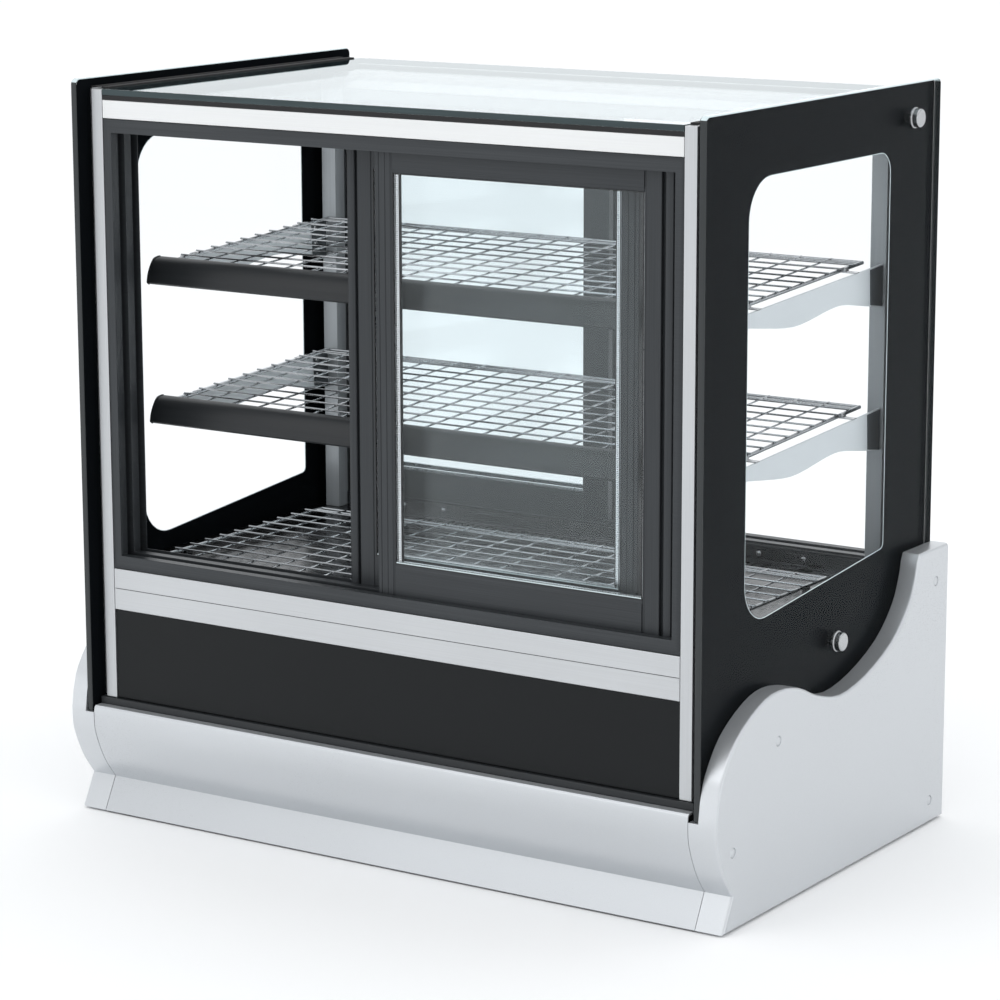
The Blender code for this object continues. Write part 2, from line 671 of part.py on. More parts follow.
def shelves():
    for level in ("upper", "lower"):
        shelf = wire_grid(f"{level}_shelf", 2 * SHELF_HALF, SHELF_DEPTH, 9, 6)
        tabs = []
        for side in (-1, 1):
            low, high = sorted((side * (SHELF_HALF - WIRE / 2), side * (BRACKET_X + BRACKET_T / 2 + 0.001)))
            for y in (-0.115, 0.117):
                tabs.append(box("tab", (low, y - 0.005, TAB_Z[0]), (high, y + 0.005, TAB_Z[1])))
        shelf = combine(shelf, tabs, "UNION")
        shelf.matrix_world = tilt_frame(level) @ Matrix.Translation((0, -SHELF_DEPTH / 2, 0))
        front = -SHELF_DEPTH - 0.0006
        curl = smooth([(front + 0.0035, 0.0045), (front - 0.0030, 0.0028), (front - 0.0095, -0.0040),
                       (front - 0.0150, -0.0135), (front - 0.0180, -0.0235)], 2)
        rail = prism(f"{level}_price_rail", strip([(front + 0.0085, 0.0045)] + curl
                                                  + [(front - 0.0150, -0.0262)], 0.0016),
                     "X", -RAIL_HALF, RAIL_HALF, "black_frame")
        put_origin(rail, (0, 0, 0))
        rail.matrix_world = tilt_frame(level)
    rack = wire_grid("deck_rack", 2 * RACK_HALF, SHELF_DEPTH, 9, 6)
    rack.location = (0, FRONT + RACK_SET + SHELF_DEPTH / 2, DECK_Z + RACK_RISE)


def shelf_brackets():
    under = [(-0.3050, -0.0200), (-0.2450, -0.0315), (-0.2050, -0.0372), (-0.1700, -0.0370),
             (-0.1300, -0.0340), (-0.1000, -0.0332), (-0.0750, -0.0360), (-0.0300, -0.0458),
             (0.0125, -0.0540)]
    lean = math.tan(SHELF_TILT)          # keeps the root upright while the arm tilts
    root = UPRIGHT_SET - SHELF_REAR - 0.0005
    arm = [(root - 0.0540 * lean, -0.0540), (root - 0.0035 * lean, -0.0035), (-0.3350, -0.0035),
           (-0.3390, -0.0065), (-0.3390, -0.0160)] + smooth(under, 2)[:-1]
    for level in ("upper", "lower"):
        for hand, side in (("left", -1), ("right", 1)):
            x = side * BRACKET_X
            plate = prism(f"{level}_{hand}_bracket", arm[::-1], "X",
                          x - BRACKET_T / 2, x + BRACKET_T / 2, "bracket_paint")
            hooks = []
            for z in HOOKS:
                reach = root + z * lean
                hook = [(reach - 0.004, z - 0.004), (reach + 0.005, z - 0.004),
                        (reach + 0.005, z + 0.004), (reach - 0.004, z + 0.004)]
                hooks.append(prism("hook", hook, "X", x - 0.0014, x + 0.0014))
            plate = combine(plate, hooks, "UNION")
            put_origin(plate, (0, 0, 0))
            plate.matrix_world = tilt_frame(level)


def uprights():
    """Slotted bars that the brackets hook into, ahead of the rear posts."""
    y0, y1 = FRONT + UPRIGHT_SET, -FRONT - FRAME_BACK - GAP
    slot_heights = [SHELF_Z[level] + hook for level in SHELF_Z for hook in HOOKS]
    for hand, side in (("left", -1), ("right", 1)):
        low, high = sorted((side * UPRIGHT_IN, side * UPRIGHT_OUT))
        bar = box(f"{hand}_upright", (low, y0, DECK_Z + 0.0005), (high, y1, 0.8780), "aluminium")
        cutters = [box("hook_slot", (side * BRACKET_X - 0.0018, y0 - 0.01, z - SLOT_H / 2),
                       (side * BRACKET_X + 0.0018, y0 + 0.0075, z + SLOT_H / 2))
                   for z in slot_heights]
        combine(bar, [merged(f"{hand}_hook_slots", cutters)])


def deck():
    y0, y1 = FRONT + FRAME_BACK + 0.0005, -FRONT - FRAME_BACK - 0.0005
    wide = POST_OUT - 0.0005
    lip = DECK_Z + 0.0185
    section = [(y0, lip), (y0, DECK_Z - SHEET), (y1, DECK_Z - SHEET), (y1, lip),
               (y1 - SHEET, lip), (y1 - SHEET, DECK_Z), (y0 + SHEET, DECK_Z), (y0 + SHEET, lip)]
    pan = prism("deck_pan", section, "X", -wide, wide, "stainless")
    middle = FRONT + RACK_SET + SHELF_DEPTH / 2
    pad_top = DECK_Z + RACK_RISE - WIRE / 2 - GAP
    pads = []
    for x in (WIRE / 2 - RACK_HALF, RACK_HALF - WIRE / 2):
        for y in (middle - PAD_REACH, middle + PAD_REACH):
            pads.append(box("rack_pad", (x - 0.0020, y - 0.006, DECK_Z - SHEET / 2), (x + 0.0020, y + 0.006, pad_top)))
    pan = combine(pan, pads, "UNION")
    slots = []
    for k in range(AIR_SLOTS):
        x = (k - (AIR_SLOTS - 1) / 2) * AIR_PITCH
        slots.append(box("air_slot", (x - AIR_SLOT_W / 2, y1 - 0.0290, 0.29),
                         (x + AIR_SLOT_W / 2, y1 - 0.0120, 0.32)))
    slots.append(turned("sensor_hole", [(0, 0.01), (0.011, 0.01), (0.011, -0.01), (0, -0.01)],
                        (0.3060, y1 - 0.0170, DECK_Z), (0, 0, 1), None, 16))
    clear = UPRIGHT_SET - GAP
    for side in (-1, 1):
        low, high = sorted((side * (UPRIGHT_IN - 0.001), side * (UPRIGHT_OUT + 0.001)))
        slots.append(box("upright_notch", (low, FRONT + clear - 0.001, DECK_Z), (high, y1 + 0.01, 0.34)))
    combine(pan, [merged("deck_cuts", slots)])


# ---- works under the deck --------------------------------------------------
def blower():
    x, y, _ = SPINDLE
    plate_z = POST_BASE
    drum_r, drum_low = 0.072, 0.0700
    flange = box("blower_housing", (-0.400, FRONT + 0.075, plate_z), (0.400, -FRONT - 0.070, plate_z + 0.002),
                 "galvanised")
    drum = turned("drum", [(0, plate_z + 0.001), (drum_r, plate_z + 0.001), (drum_r, drum_low), (0, drum_low)],
                  (x, y, 0), (0, 0, 1), None, 28)
    outlet = box("outlet", (x + drum_r - 0.050, y, drum_low), (x + drum_r, y + 0.120, plate_z + 0.001))
    body = combine(flange, [drum, outlet], "UNION")
    wall = SHEET
    bore = turned("drum_bore", [(0, plate_z + 0.02), (drum_r - wall, plate_z + 0.02),
                                (drum_r - wall, drum_low + wall), (0, drum_low + wall)],
                  (x, y, 0), (0, 0, 1), None, 28)
    duct = box("duct", (x + drum_r - 0.048, y, drum_low + wall), (x + drum_r - wall, y + 0.118, plate_z + 0.02))
    shaft_hole = turned("shaft_hole", [(0, 0.02), (0.0060, 0.02), (0.0060, -0.02), (0, -0.02)],
                        (x, y, drum_low), (0, 0, 1), None, 16)
    combine(body, [bore, duct, shaft_hole])

    floor = drum_low + wall + 0.003
    wheel = turned("blower_wheel", [(0.0032, floor + 0.016), (0.014, floor + 0.016), (0.016, floor + 0.003),
                                    (WHEEL_R, floor + 0.003), (WHEEL_R, floor), (0.0032, floor),
                                    (0.0032, floor + 0.016)], (x, y, 0), (0, 0, 1), "plastic", 24)
    wheel = bake(wheel)
    blades = []
    for k in range(12):
        blade = box("blade", (0.036, -0.0009, floor + 0.001), (WHEEL_R - 0.001, 0.0009, floor + 0.050))
        spin = Matrix.Rotation(math.radians(30 * k), 4, "Z")
        lean = Matrix.Translation((0.046, 0, 0)) @ Matrix.Rotation(math.radians(-28), 4, "Z")
        blade.matrix_basis = (Matrix.Translation((x, y, 0)) @ spin @ lean
                              @ Matrix.Translation((-0.046, 0, 0)) @ blade.matrix_basis)
        blades.append(blade)
    wheel = combine(wheel, blades, "UNION")
    put_origin(wheel, (x, y, floor))
    turned("blower_motor", [(0, floor + 0.012), (0.0028, floor + 0.012), (0.0028, drum_low - 0.003),
                            (0.012, drum_low - 0.003), (0.030, drum_low - 0.008), (0.030, 0.022),
                            (0.026, 0.0143), (0, 0.0143)], (x, y, 0), (0, 0, 1), "galvanised", 24)


def heater():
    """A bent rod element that stands on the plate beside the blower inlet."""
    z, low = 0.180, POST_BASE + 0.002 + GAP
    left, right = -0.330, 0.330
    route = [(left, 0.130, low), (left, 0.130, z - 0.012), (left + 0.012, 0.130, z)]
    rows = (0.130, 0.090, -0.070, -0.110)
    for k, y in enumerate(rows[:-1]):
        end, turn = (right, 1) if k % 2 == 0 else (left, -1)
        following = rows[k + 1]
        route += [(end, y, z), (end + turn * 0.010, y - 0.006, z), (end + turn * 0.010, following + 0.006, z),
                  (end, following, z)]
    route += [(left + 0.012, rows[-1], z), (left, rows[-1], z - 0.012), (left, rows[-1], low)]
    tube("heater_element", route, 0.0040, "stainless", 1)


def lamp():
    y = FRONT + FRAME_BACK + GAP
    outline = [(y, 0.8600), (y + 0.016, 0.8640), (y + 0.016, 0.8740), (y, 0.8780)]
    prism("led_bar", outline, "X", -0.360, 0.360, "lamp")


def main():
    base()
    base_covers()
    rear_panel()
    frame_posts()
    bars()
    side_glass()
    top()
    door_surrounds()
    doors()
    uprights()
    shelves()
    shelf_brackets()
    deck()
    blower()
    heater()
    lamp()
    for obj in PARTS.objects:
        if obj.type == "MESH":
            obj.data.shade_smooth()
            obj.data.set_sharp_from_angle(angle=math.radians(32))


main()
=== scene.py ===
"""Looks of the bakery display case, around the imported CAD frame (metres, +Z up, -Y is the front)."""
import json
import math

import bmesh
import bpy
from mathutils import Matrix, Vector

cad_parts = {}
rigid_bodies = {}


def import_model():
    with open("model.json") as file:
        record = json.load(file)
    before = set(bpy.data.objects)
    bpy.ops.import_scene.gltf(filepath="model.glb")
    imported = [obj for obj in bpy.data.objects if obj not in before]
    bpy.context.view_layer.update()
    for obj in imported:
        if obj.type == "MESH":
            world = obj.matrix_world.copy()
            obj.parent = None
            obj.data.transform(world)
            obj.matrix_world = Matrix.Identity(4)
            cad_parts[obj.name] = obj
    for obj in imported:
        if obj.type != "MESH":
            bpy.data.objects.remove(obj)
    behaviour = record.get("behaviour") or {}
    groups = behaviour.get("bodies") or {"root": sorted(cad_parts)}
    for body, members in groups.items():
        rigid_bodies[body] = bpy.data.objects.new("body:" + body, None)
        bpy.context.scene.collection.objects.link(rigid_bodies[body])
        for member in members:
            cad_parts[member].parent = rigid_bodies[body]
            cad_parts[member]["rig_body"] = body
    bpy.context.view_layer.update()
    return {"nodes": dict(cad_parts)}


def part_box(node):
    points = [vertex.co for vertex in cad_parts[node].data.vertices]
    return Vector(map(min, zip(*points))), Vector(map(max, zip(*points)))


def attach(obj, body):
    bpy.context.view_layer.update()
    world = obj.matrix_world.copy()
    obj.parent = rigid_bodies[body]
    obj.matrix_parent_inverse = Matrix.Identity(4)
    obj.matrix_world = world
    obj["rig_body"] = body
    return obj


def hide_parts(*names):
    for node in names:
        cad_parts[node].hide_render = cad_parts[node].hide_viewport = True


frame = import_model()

NODES = frame["nodes"]
CASE = "case"
HALF_TURN = Matrix.Rotation(math.pi, 4, "Z")
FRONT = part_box("left_side_glass")[0].y          # front edge of the side glass
GLASS_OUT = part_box("right_side_glass")[1].x
GLASS_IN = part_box("right_side_glass")[0].x
SIDES = (("left", -1), ("right", 1))


def middle(low, high):
    return (low + high) / 2


# ---- materials ---------------------------------------------------------------
def nodes_of(mat):
    mat.use_nodes = True
    tree = mat.node_tree
    return tree, tree.nodes["Principled BSDF"], tree.nodes["Material Output"]


def field(tree, scale, detail=3.0, rough=0.55, distort=0.0):
    """Noise in the object's own space; scale is per metre along x, y and z."""
    coord = tree.nodes.new("ShaderNodeTexCoord")
    mapping = tree.nodes.new("ShaderNodeMapping")
    mapping.inputs["Scale"].default_value = scale
    noise = tree.nodes.new("ShaderNodeTexNoise")
    noise.inputs["Scale"].default_value = 1.0
    noise.inputs["Detail"].default_value = detail
    noise.inputs["Roughness"].default_value = rough
    noise.inputs["Distortion"].default_value = distort
    tree.links.new(coord.outputs["Object"], mapping.inputs["Vector"])
    tree.links.new(mapping.outputs["Vector"], noise.inputs["Vector"])
    return noise.outputs["Fac"]


def spread(tree, value, low, high, from_low=0.25, from_high=0.75):
    """A value from one range moved to another; most of a noise lies in 0.25 to 0.75."""
    node = tree.nodes.new("ShaderNodeMapRange")
    node.inputs["From Min"].default_value = from_low
    node.inputs["From Max"].default_value = from_high
    node.inputs["To Min"].default_value = low
    node.inputs["To Max"].default_value = high
    tree.links.new(value, node.inputs["Value"])
    return node.outputs["Result"]


def maths(tree, operation, one, two):
    node = tree.nodes.new("ShaderNodeMath")
    node.operation = operation
    for socket, value in zip(node.inputs, (one, two)):
        if isinstance(value, (int, float)):
            socket.default_value = value
        else:
            tree.links.new(value, socket)
    return node.outputs["Value"]


def blend_colour(tree, factor, one, two, mode="MIX"):
    node = tree.nodes.new("ShaderNodeMix")
    node.data_type = "RGBA"
    node.blend_type = mode
    for label, value in (("Factor", factor), ("A", one), ("B", two)):
        socket = node.inputs[label]
        if isinstance(value, (int, float)):
            socket.default_value = value
        elif isinstance(value, tuple):
            socket.default_value = (*value, 1.0)
        else:
            tree.links.new(value, socket)
    return node.outputs["Result"]


RELIEF = 0.0004       # depth that a bump strength of 1 stands for
COAT_ROUGH = 0.08
GLASS_SHEEN = (0.92, 0.96, 0.97, 1.0)
HOLE_DARK = (0.05, 0.055, 0.06)


def surface(name, colour, rough, metal=0.0, grain=(900, 900, 900), vary=0.05, rough_vary=0.04,
            blotch=0.05, blotch_scale=5.0, bump=0.0, bump_scale=None, coat=0.0, wear=0.0, specular=0.5):
    """A finish with fine grain, slow blotches, uneven sheen and a fine relief."""
    mat = bpy.data.materials.new(name)
    tree, shader, _ = nodes_of(mat)
    fine = field(tree, grain)
    slow = field(tree, (blotch_scale,) * 3, 2.0)
    shade = maths(tree, "MULTIPLY", spread(tree, fine, 1 - vary, 1 + vary),
                  spread(tree, slow, 1 - blotch, 1 + blotch))
    tint = tree.nodes.new("ShaderNodeVectorMath")
    tint.operation = "SCALE"
    tint.inputs[0].default_value = colour
    tree.links.new(shade, tint.inputs["Scale"])
    result = tint.outputs["Vector"]
    if wear:
        geometry = tree.nodes.new("ShaderNodeNewGeometry")
        edge = spread(tree, geometry.outputs["Pointiness"], 0.0, wear, 0.53, 0.60)
        bright = tuple(min(1.0, c * 2.2 + 0.05) for c in colour)
        result = blend_colour(tree, maths(tree, "MULTIPLY", edge, fine), result, bright)
    tree.links.new(result, shader.inputs["Base Color"])
    rough_now = maths(tree, "ADD", spread(tree, fine, rough - rough_vary, rough + rough_vary),
                      spread(tree, slow, -rough_vary / 2, rough_vary / 2))
    tree.links.new(rough_now, shader.inputs["Roughness"])
    shader.inputs["Metallic"].default_value = metal
    shader.inputs["Specular IOR Level"].default_value = specular
    if coat:
        shader.inputs["Coat Weight"].default_value = coat
        shader.inputs["Coat Roughness"].default_value = COAT_ROUGH
    if bump:
        relief = tree.nodes.new("ShaderNodeBump")
        relief.inputs["Strength"].default_value = bump
        relief.inputs["Distance"].default_value = RELIEF
        height = field(tree, bump_scale or grain, 2.0)
        tree.links.new(height, relief.inputs["Height"])
        tree.links.new(relief.outputs["Normal"], shader.inputs["Normal"])
    return mat


def pane(name, tint, straight, slanted):
    """Clear flat glass: it mirrors more at a slant, and lets light and sight straight through."""
    mat = bpy.data.materials.new(name)
    tree, shader, output = nodes_of(mat)
    tree.nodes.remove(shader)
    clear = tree.nodes.new("ShaderNodeBsdfTransparent")
    clear.inputs["Color"].default_value = (*tint, 1.0)
    gloss = tree.nodes.new("ShaderNodeBsdfGlossy")
    gloss.inputs["Color"].default_value = GLASS_SHEEN
    smudge = field(tree, (9, 9, 9), 3.0)
    tree.links.new(spread(tree, smudge, 0.005, 0.035), gloss.inputs["Roughness"])
    slant = tree.nodes.new("ShaderNodeLayerWeight")
    slant.inputs["Blend"].default_value = 0.5
    fifth = maths(tree, "POWER", slant.outputs["Facing"], 5.0)
    share = maths(tree, "ADD", maths(tree, "MULTIPLY", fifth, slanted - straight), straight)
    mix = tree.nodes.new("ShaderNodeMixShader")
    tree.links.new(share, mix.inputs["Fac"])
    tree.links.new(clear.outputs["BSDF"], mix.inputs[1])
    tree.links.new(gloss.outputs["BSDF"], mix.inputs[2])
    tree.links.new(mix.outputs["Shader"], output.inputs["Surface"])
    return mat


def perforated(name, colour, pitch, axes):
    """Bright strip with rows of fine dark holes; axes are the two directions of the rows."""
    mat = surface(name, colour, 0.28, 1.0, vary=0.06)
    tree, shader, _ = nodes_of(mat)
    coord = tree.nodes.new("ShaderNodeTexCoord")
    mapping = tree.nodes.new("ShaderNodeMapping")
    mapping.inputs["Scale"].default_value = tuple(1.0 / pitch if a in axes else 0.0 for a in "xyz")
    dots = tree.nodes.new("ShaderNodeTexVoronoi")
    dots.inputs["Scale"].default_value = 1.0
    dots.inputs["Randomness"].default_value = 0.0
    tree.links.new(coord.outputs["Object"], mapping.inputs["Vector"])
    tree.links.new(mapping.outputs["Vector"], dots.inputs["Vector"])
    hole = spread(tree, dots.outputs["Distance"], 1.0, 0.0, 0.20, 0.34)
    before = shader.inputs["Base Color"].links[0].from_socket
    tree.links.new(blend_colour(tree, hole, before, HOLE_DARK), shader.inputs["Base Color"])
    return mat


LINE = 1100.0     # fine drawn lines, per metre across them
LONG = 5.0        # and along them


def even(scale):
    """The same grain along all three axes, per metre."""
    return (scale,) * 3


RECIPES = {
    "silver_paint": dict(colour=(0.585, 0.606, 0.628), rough=0.32, metal=0.6, grain=even(1500),
                         vary=0.045, rough_vary=0.05, blotch=0.02, blotch_scale=3.0, bump=0.05,
                         bump_scale=even(260)),
    # the silver paint made lighter and more metallic for the covers' rim band: painted highlight
    "silver_painted_highlight_band": dict(colour=(0.625, 0.646, 0.668), rough=0.36, metal=0.72, grain=even(1500),
                        vary=0.045, rough_vary=0.05, blotch=0.02, blotch_scale=3.0, bump=0.05,
                        bump_scale=even(260)),
    "aluminium_x": dict(colour=(0.55, 0.565, 0.58), rough=0.34, metal=0.85, grain=(LONG, LINE, LINE),
                        vary=0.05, rough_vary=0.06, blotch=0.03, blotch_scale=3.0, bump=0.04),
    "aluminium_z": dict(colour=(0.54, 0.555, 0.57), rough=0.34, metal=0.85, grain=(LINE, LINE, LONG),
                        vary=0.06, rough_vary=0.06, blotch=0.03, blotch_scale=3.0, bump=0.04),
    # the aluminium made lighter for the header bars: painted sheen where they mirror the bright studio
    "aluminium_painted_sheen": dict(colour=(0.76, 0.77, 0.77), rough=0.36, metal=0.4,
                             grain=(LONG, LINE, LINE), vary=0.03, rough_vary=0.06, blotch=0.02,
                             blotch_scale=3.0, bump=0.03),
    "upright_z": dict(colour=(0.37, 0.395, 0.415), rough=0.4, metal=0.25, grain=(LINE, LINE, LONG),
                      vary=0.08, rough_vary=0.05, blotch=0.05, blotch_scale=4.0, bump=0.05),
    "frame_x": dict(colour=(0.027, 0.0305, 0.034), rough=0.38, metal=0.3, grain=(LONG, LINE, LINE),
                    vary=0.12, rough_vary=0.05, blotch=0.06, blotch_scale=4.0, bump=0.04, wear=0.35,
                    specular=0.35),
    "frame_z": dict(colour=(0.027, 0.0305, 0.034), rough=0.38, metal=0.3, grain=(LINE, LINE, LONG),
                    vary=0.12, rough_vary=0.05, blotch=0.06, blotch_scale=4.0, bump=0.04, wear=0.35,
                    specular=0.35),
    "panel_black": dict(colour=(0.0065, 0.0078, 0.0088), rough=0.32, grain=even(700), vary=0.1,
                        rough_vary=0.04, blotch=0.08, blotch_scale=4.0, bump=0.03,
                        bump_scale=even(300), specular=0.2),
    "rail_black": dict(colour=(0.014, 0.016, 0.018), rough=0.38, grain=(LONG, LINE, LINE), vary=0.1,
                       rough_vary=0.05, blotch=0.05, blotch_scale=6.0, bump=0.04, wear=0.25,
                       specular=0.35),
    "print": dict(colour=(0.0048, 0.0058, 0.007), rough=0.3, grain=even(1500), vary=0.03,
                  rough_vary=0.03, blotch=0.04, blotch_scale=4.0, specular=0.0),
    "glass_edge_dark": dict(colour=(0.018, 0.022, 0.024), rough=0.16, grain=even(500), vary=0.08,
                            rough_vary=0.04, blotch=0.05, blotch_scale=6.0),
    # bright glass edge: painted highlight, on the side glass's top edge, the window's edge line and the
    # foot of a door pane
    "glass_edge_painted_highlight": dict(colour=(0.62, 0.72, 0.74), rough=0.12, grain=even(500), vary=0.06,
                              rough_vary=0.04, blotch=0.05, blotch_scale=8.0, coat=0.6),
    "glass_edge_teal": dict(colour=(0.16, 0.34, 0.37), rough=0.12, grain=(LONG, 500, 500), vary=0.16,
                            rough_vary=0.04, blotch=0.1, blotch_scale=12.0, coat=0.6),
    "glass_edge_roof": dict(colour=(0.028, 0.046, 0.05), rough=0.14, grain=(LONG, 500, 500), vary=0.2,
                            rough_vary=0.04, blotch=0.16, blotch_scale=9.0, specular=0.4),
    "steel_x": dict(colour=(0.13, 0.133, 0.137), rough=0.24, metal=1.0, grain=(3.0, 700, 700),
                    vary=0.24, rough_vary=0.09, blotch=0.16, blotch_scale=7.0, bump=0.06),
    "steel_round": dict(colour=(0.46, 0.47, 0.48), rough=0.24, metal=1.0, grain=even(650), vary=0.1,
                        rough_vary=0.06, blotch=0.05, blotch_scale=20.0),
    "chrome": dict(colour=(0.38, 0.395, 0.41), rough=0.15, metal=1.0, grain=even(300), vary=0.08,
                   rough_vary=0.06, blotch=0.12, blotch_scale=14.0),
    "bracket_paint": dict(colour=(0.59, 0.63, 0.655), rough=0.42, metal=0.1, grain=even(900),
                          vary=0.06, rough_vary=0.05, blotch=0.04, blotch_scale=8.0, bump=0.06,
                          bump_scale=even(420)),
    # near black: painted shade on the plates at a bracket's root
    "hook_plate_painted_shade": dict(colour=(0.06, 0.068, 0.075), rough=0.42, metal=0.5, grain=even(500), vary=0.12,
                       rough_vary=0.06, blotch=0.06, blotch_scale=9.0),
    "rubber": dict(colour=(0.022, 0.022, 0.023), rough=0.75, grain=even(600), vary=0.14,
                   rough_vary=0.08, blotch=0.08, blotch_scale=9.0, bump=0.1, specular=0.3),
    "plastic": dict(colour=(0.026, 0.027, 0.029), rough=0.42, grain=even(800), vary=0.1,
                    rough_vary=0.06, blotch=0.05, blotch_scale=12.0, bump=0.08),
    "mark": dict(colour=(0.8, 0.81, 0.8), rough=0.5, grain=even(500), vary=0.04, rough_vary=0.04,
                 blotch=0.03, blotch_scale=9.0),
    "galvanised": dict(colour=(0.47, 0.48, 0.49), rough=0.46, metal=0.9, grain=even(60), vary=0.16,
                       rough_vary=0.08, blotch=0.08, blotch_scale=11.0),
    "diffuser": dict(colour=(0.86, 0.87, 0.84), rough=0.45, grain=(LONG, 300, 300), vary=0.03,
                     rough_vary=0.04, blotch=0.02, blotch_scale=5.0),
    "seal": dict(colour=(0.01, 0.01, 0.011), rough=0.55, grain=even(500), vary=0.1, rough_vary=0.05,
                 blotch=0.05, blotch_scale=9.0),
}
FINISH = {name: surface(name, **recipe) for name, recipe in RECIPES.items()}
PANES = {   # tint, share mirrored face on and at a grazing slant
    "clear": ((0.978, 0.983, 0.985), 0.004, 0.16),
    "clear_door": ((0.984, 0.991, 0.993), 0.012, 0.50),
    "clear_roof": ((0.972, 0.979, 0.982), 0.05, 0.94),
}
FINISH.update({name: pane(name, *values) for name, values in PANES.items()})
HOLE_PITCH = 0.0021      # between the holes in a door's spacer strip
for name, axes in (("spacer_xz", "xz"), ("spacer_side", "yz"), ("spacer_flat", "xy")):
    FINISH[name] = perforated(name, (0.72, 0.74, 0.76), HOLE_PITCH, axes)


# ---- mesh tools ----------------------------------------------------------------
AXES = {   # local x, y and z of an outline extruded along each world axis
    "X": Matrix(((0, 0, 1), (1, 0, 0), (0, 1, 0))).to_4x4(),
    "Y": Matrix(((1, 0, 0), (0, 0, -1), (0, 1, 0))).to_4x4(),
    "Z": Matrix.Identity(4),
}


def smooth(points, steps=6):
    """A curve through all the points (Catmull-Rom), ends included."""
    pts = [Vector(p) for p in points]
    pts = [2 * pts[0] - pts[1]] + pts + [2 * pts[-1] - pts[-2]]
    out = []
    for a, b, c, d in zip(pts, pts[1:], pts[2:], pts[3:]):
        for k in range(steps):
            t = k / steps
            out.append(0.5 * (2 * b + (c - a) * t + (2 * a - 5 * b + 4 * c - d) * t ** 2
                              + (3 * b - a - 3 * c + d) * t ** 3))
    return [tuple(p) for p in out + [pts[-2]]]


def offset(points, distance):
    """Each point moved sideways, to the left of the direction of travel."""
    pts = [Vector(p) for p in points]
    out = []
    for i, here in enumerate(pts):
        before = pts[max(i - 1, 0)]
        after = pts[min(i + 1, len(pts) - 1)]
        way = (after - before).normalized()
        out.append((here.x - way.y * distance, here.y + way.x * distance))
    return out


def strip(points, thickness):
    """The outline of a bent strip whose one side follows the points."""
    return list(points) + offset(points, thickness)[::-1]


def rounded(corners, radii, steps=8):
    """A polygon with each corner replaced by an arc of its own radius."""
    points = []
    count = len(corners)
    for i, (corner, radius) in enumerate(zip(corners, radii)):
        here = Vector(corner)
        back = (Vector(corners[i - 1]) - here).normalized()
        ahead = (Vector(corners[(i + 1) % count]) - here).normalized()
        if radius <= 0:
            points.append(tuple(here))
            continue
        half = back.angle(ahead) / 2
        reach = radius / math.tan(half)
        centre = here + (back + ahead).normalized() * (radius / math.sin(half))
        start, end = here + back * reach - centre, here + ahead * reach - centre
        sweep = start.angle_signed(end)
        for k in range(steps + 1):
            turned = Matrix.Rotation(-sweep * k / steps, 2) @ start
            points.append(tuple(centre + turned))
    return points


def soften(bm, width, segments=2, sharpest=28):
    """Round every edge sharper than an angle."""
    edges = [e for e in bm.edges
             if len(e.link_faces) == 2 and e.calc_face_angle(0) > math.radians(sharpest)]
    if edges:
        bmesh.ops.bevel(bm, geom=edges, offset=width, segments=segments, profile=0.5,
                        affect="EDGES", clamp_overlap=True)


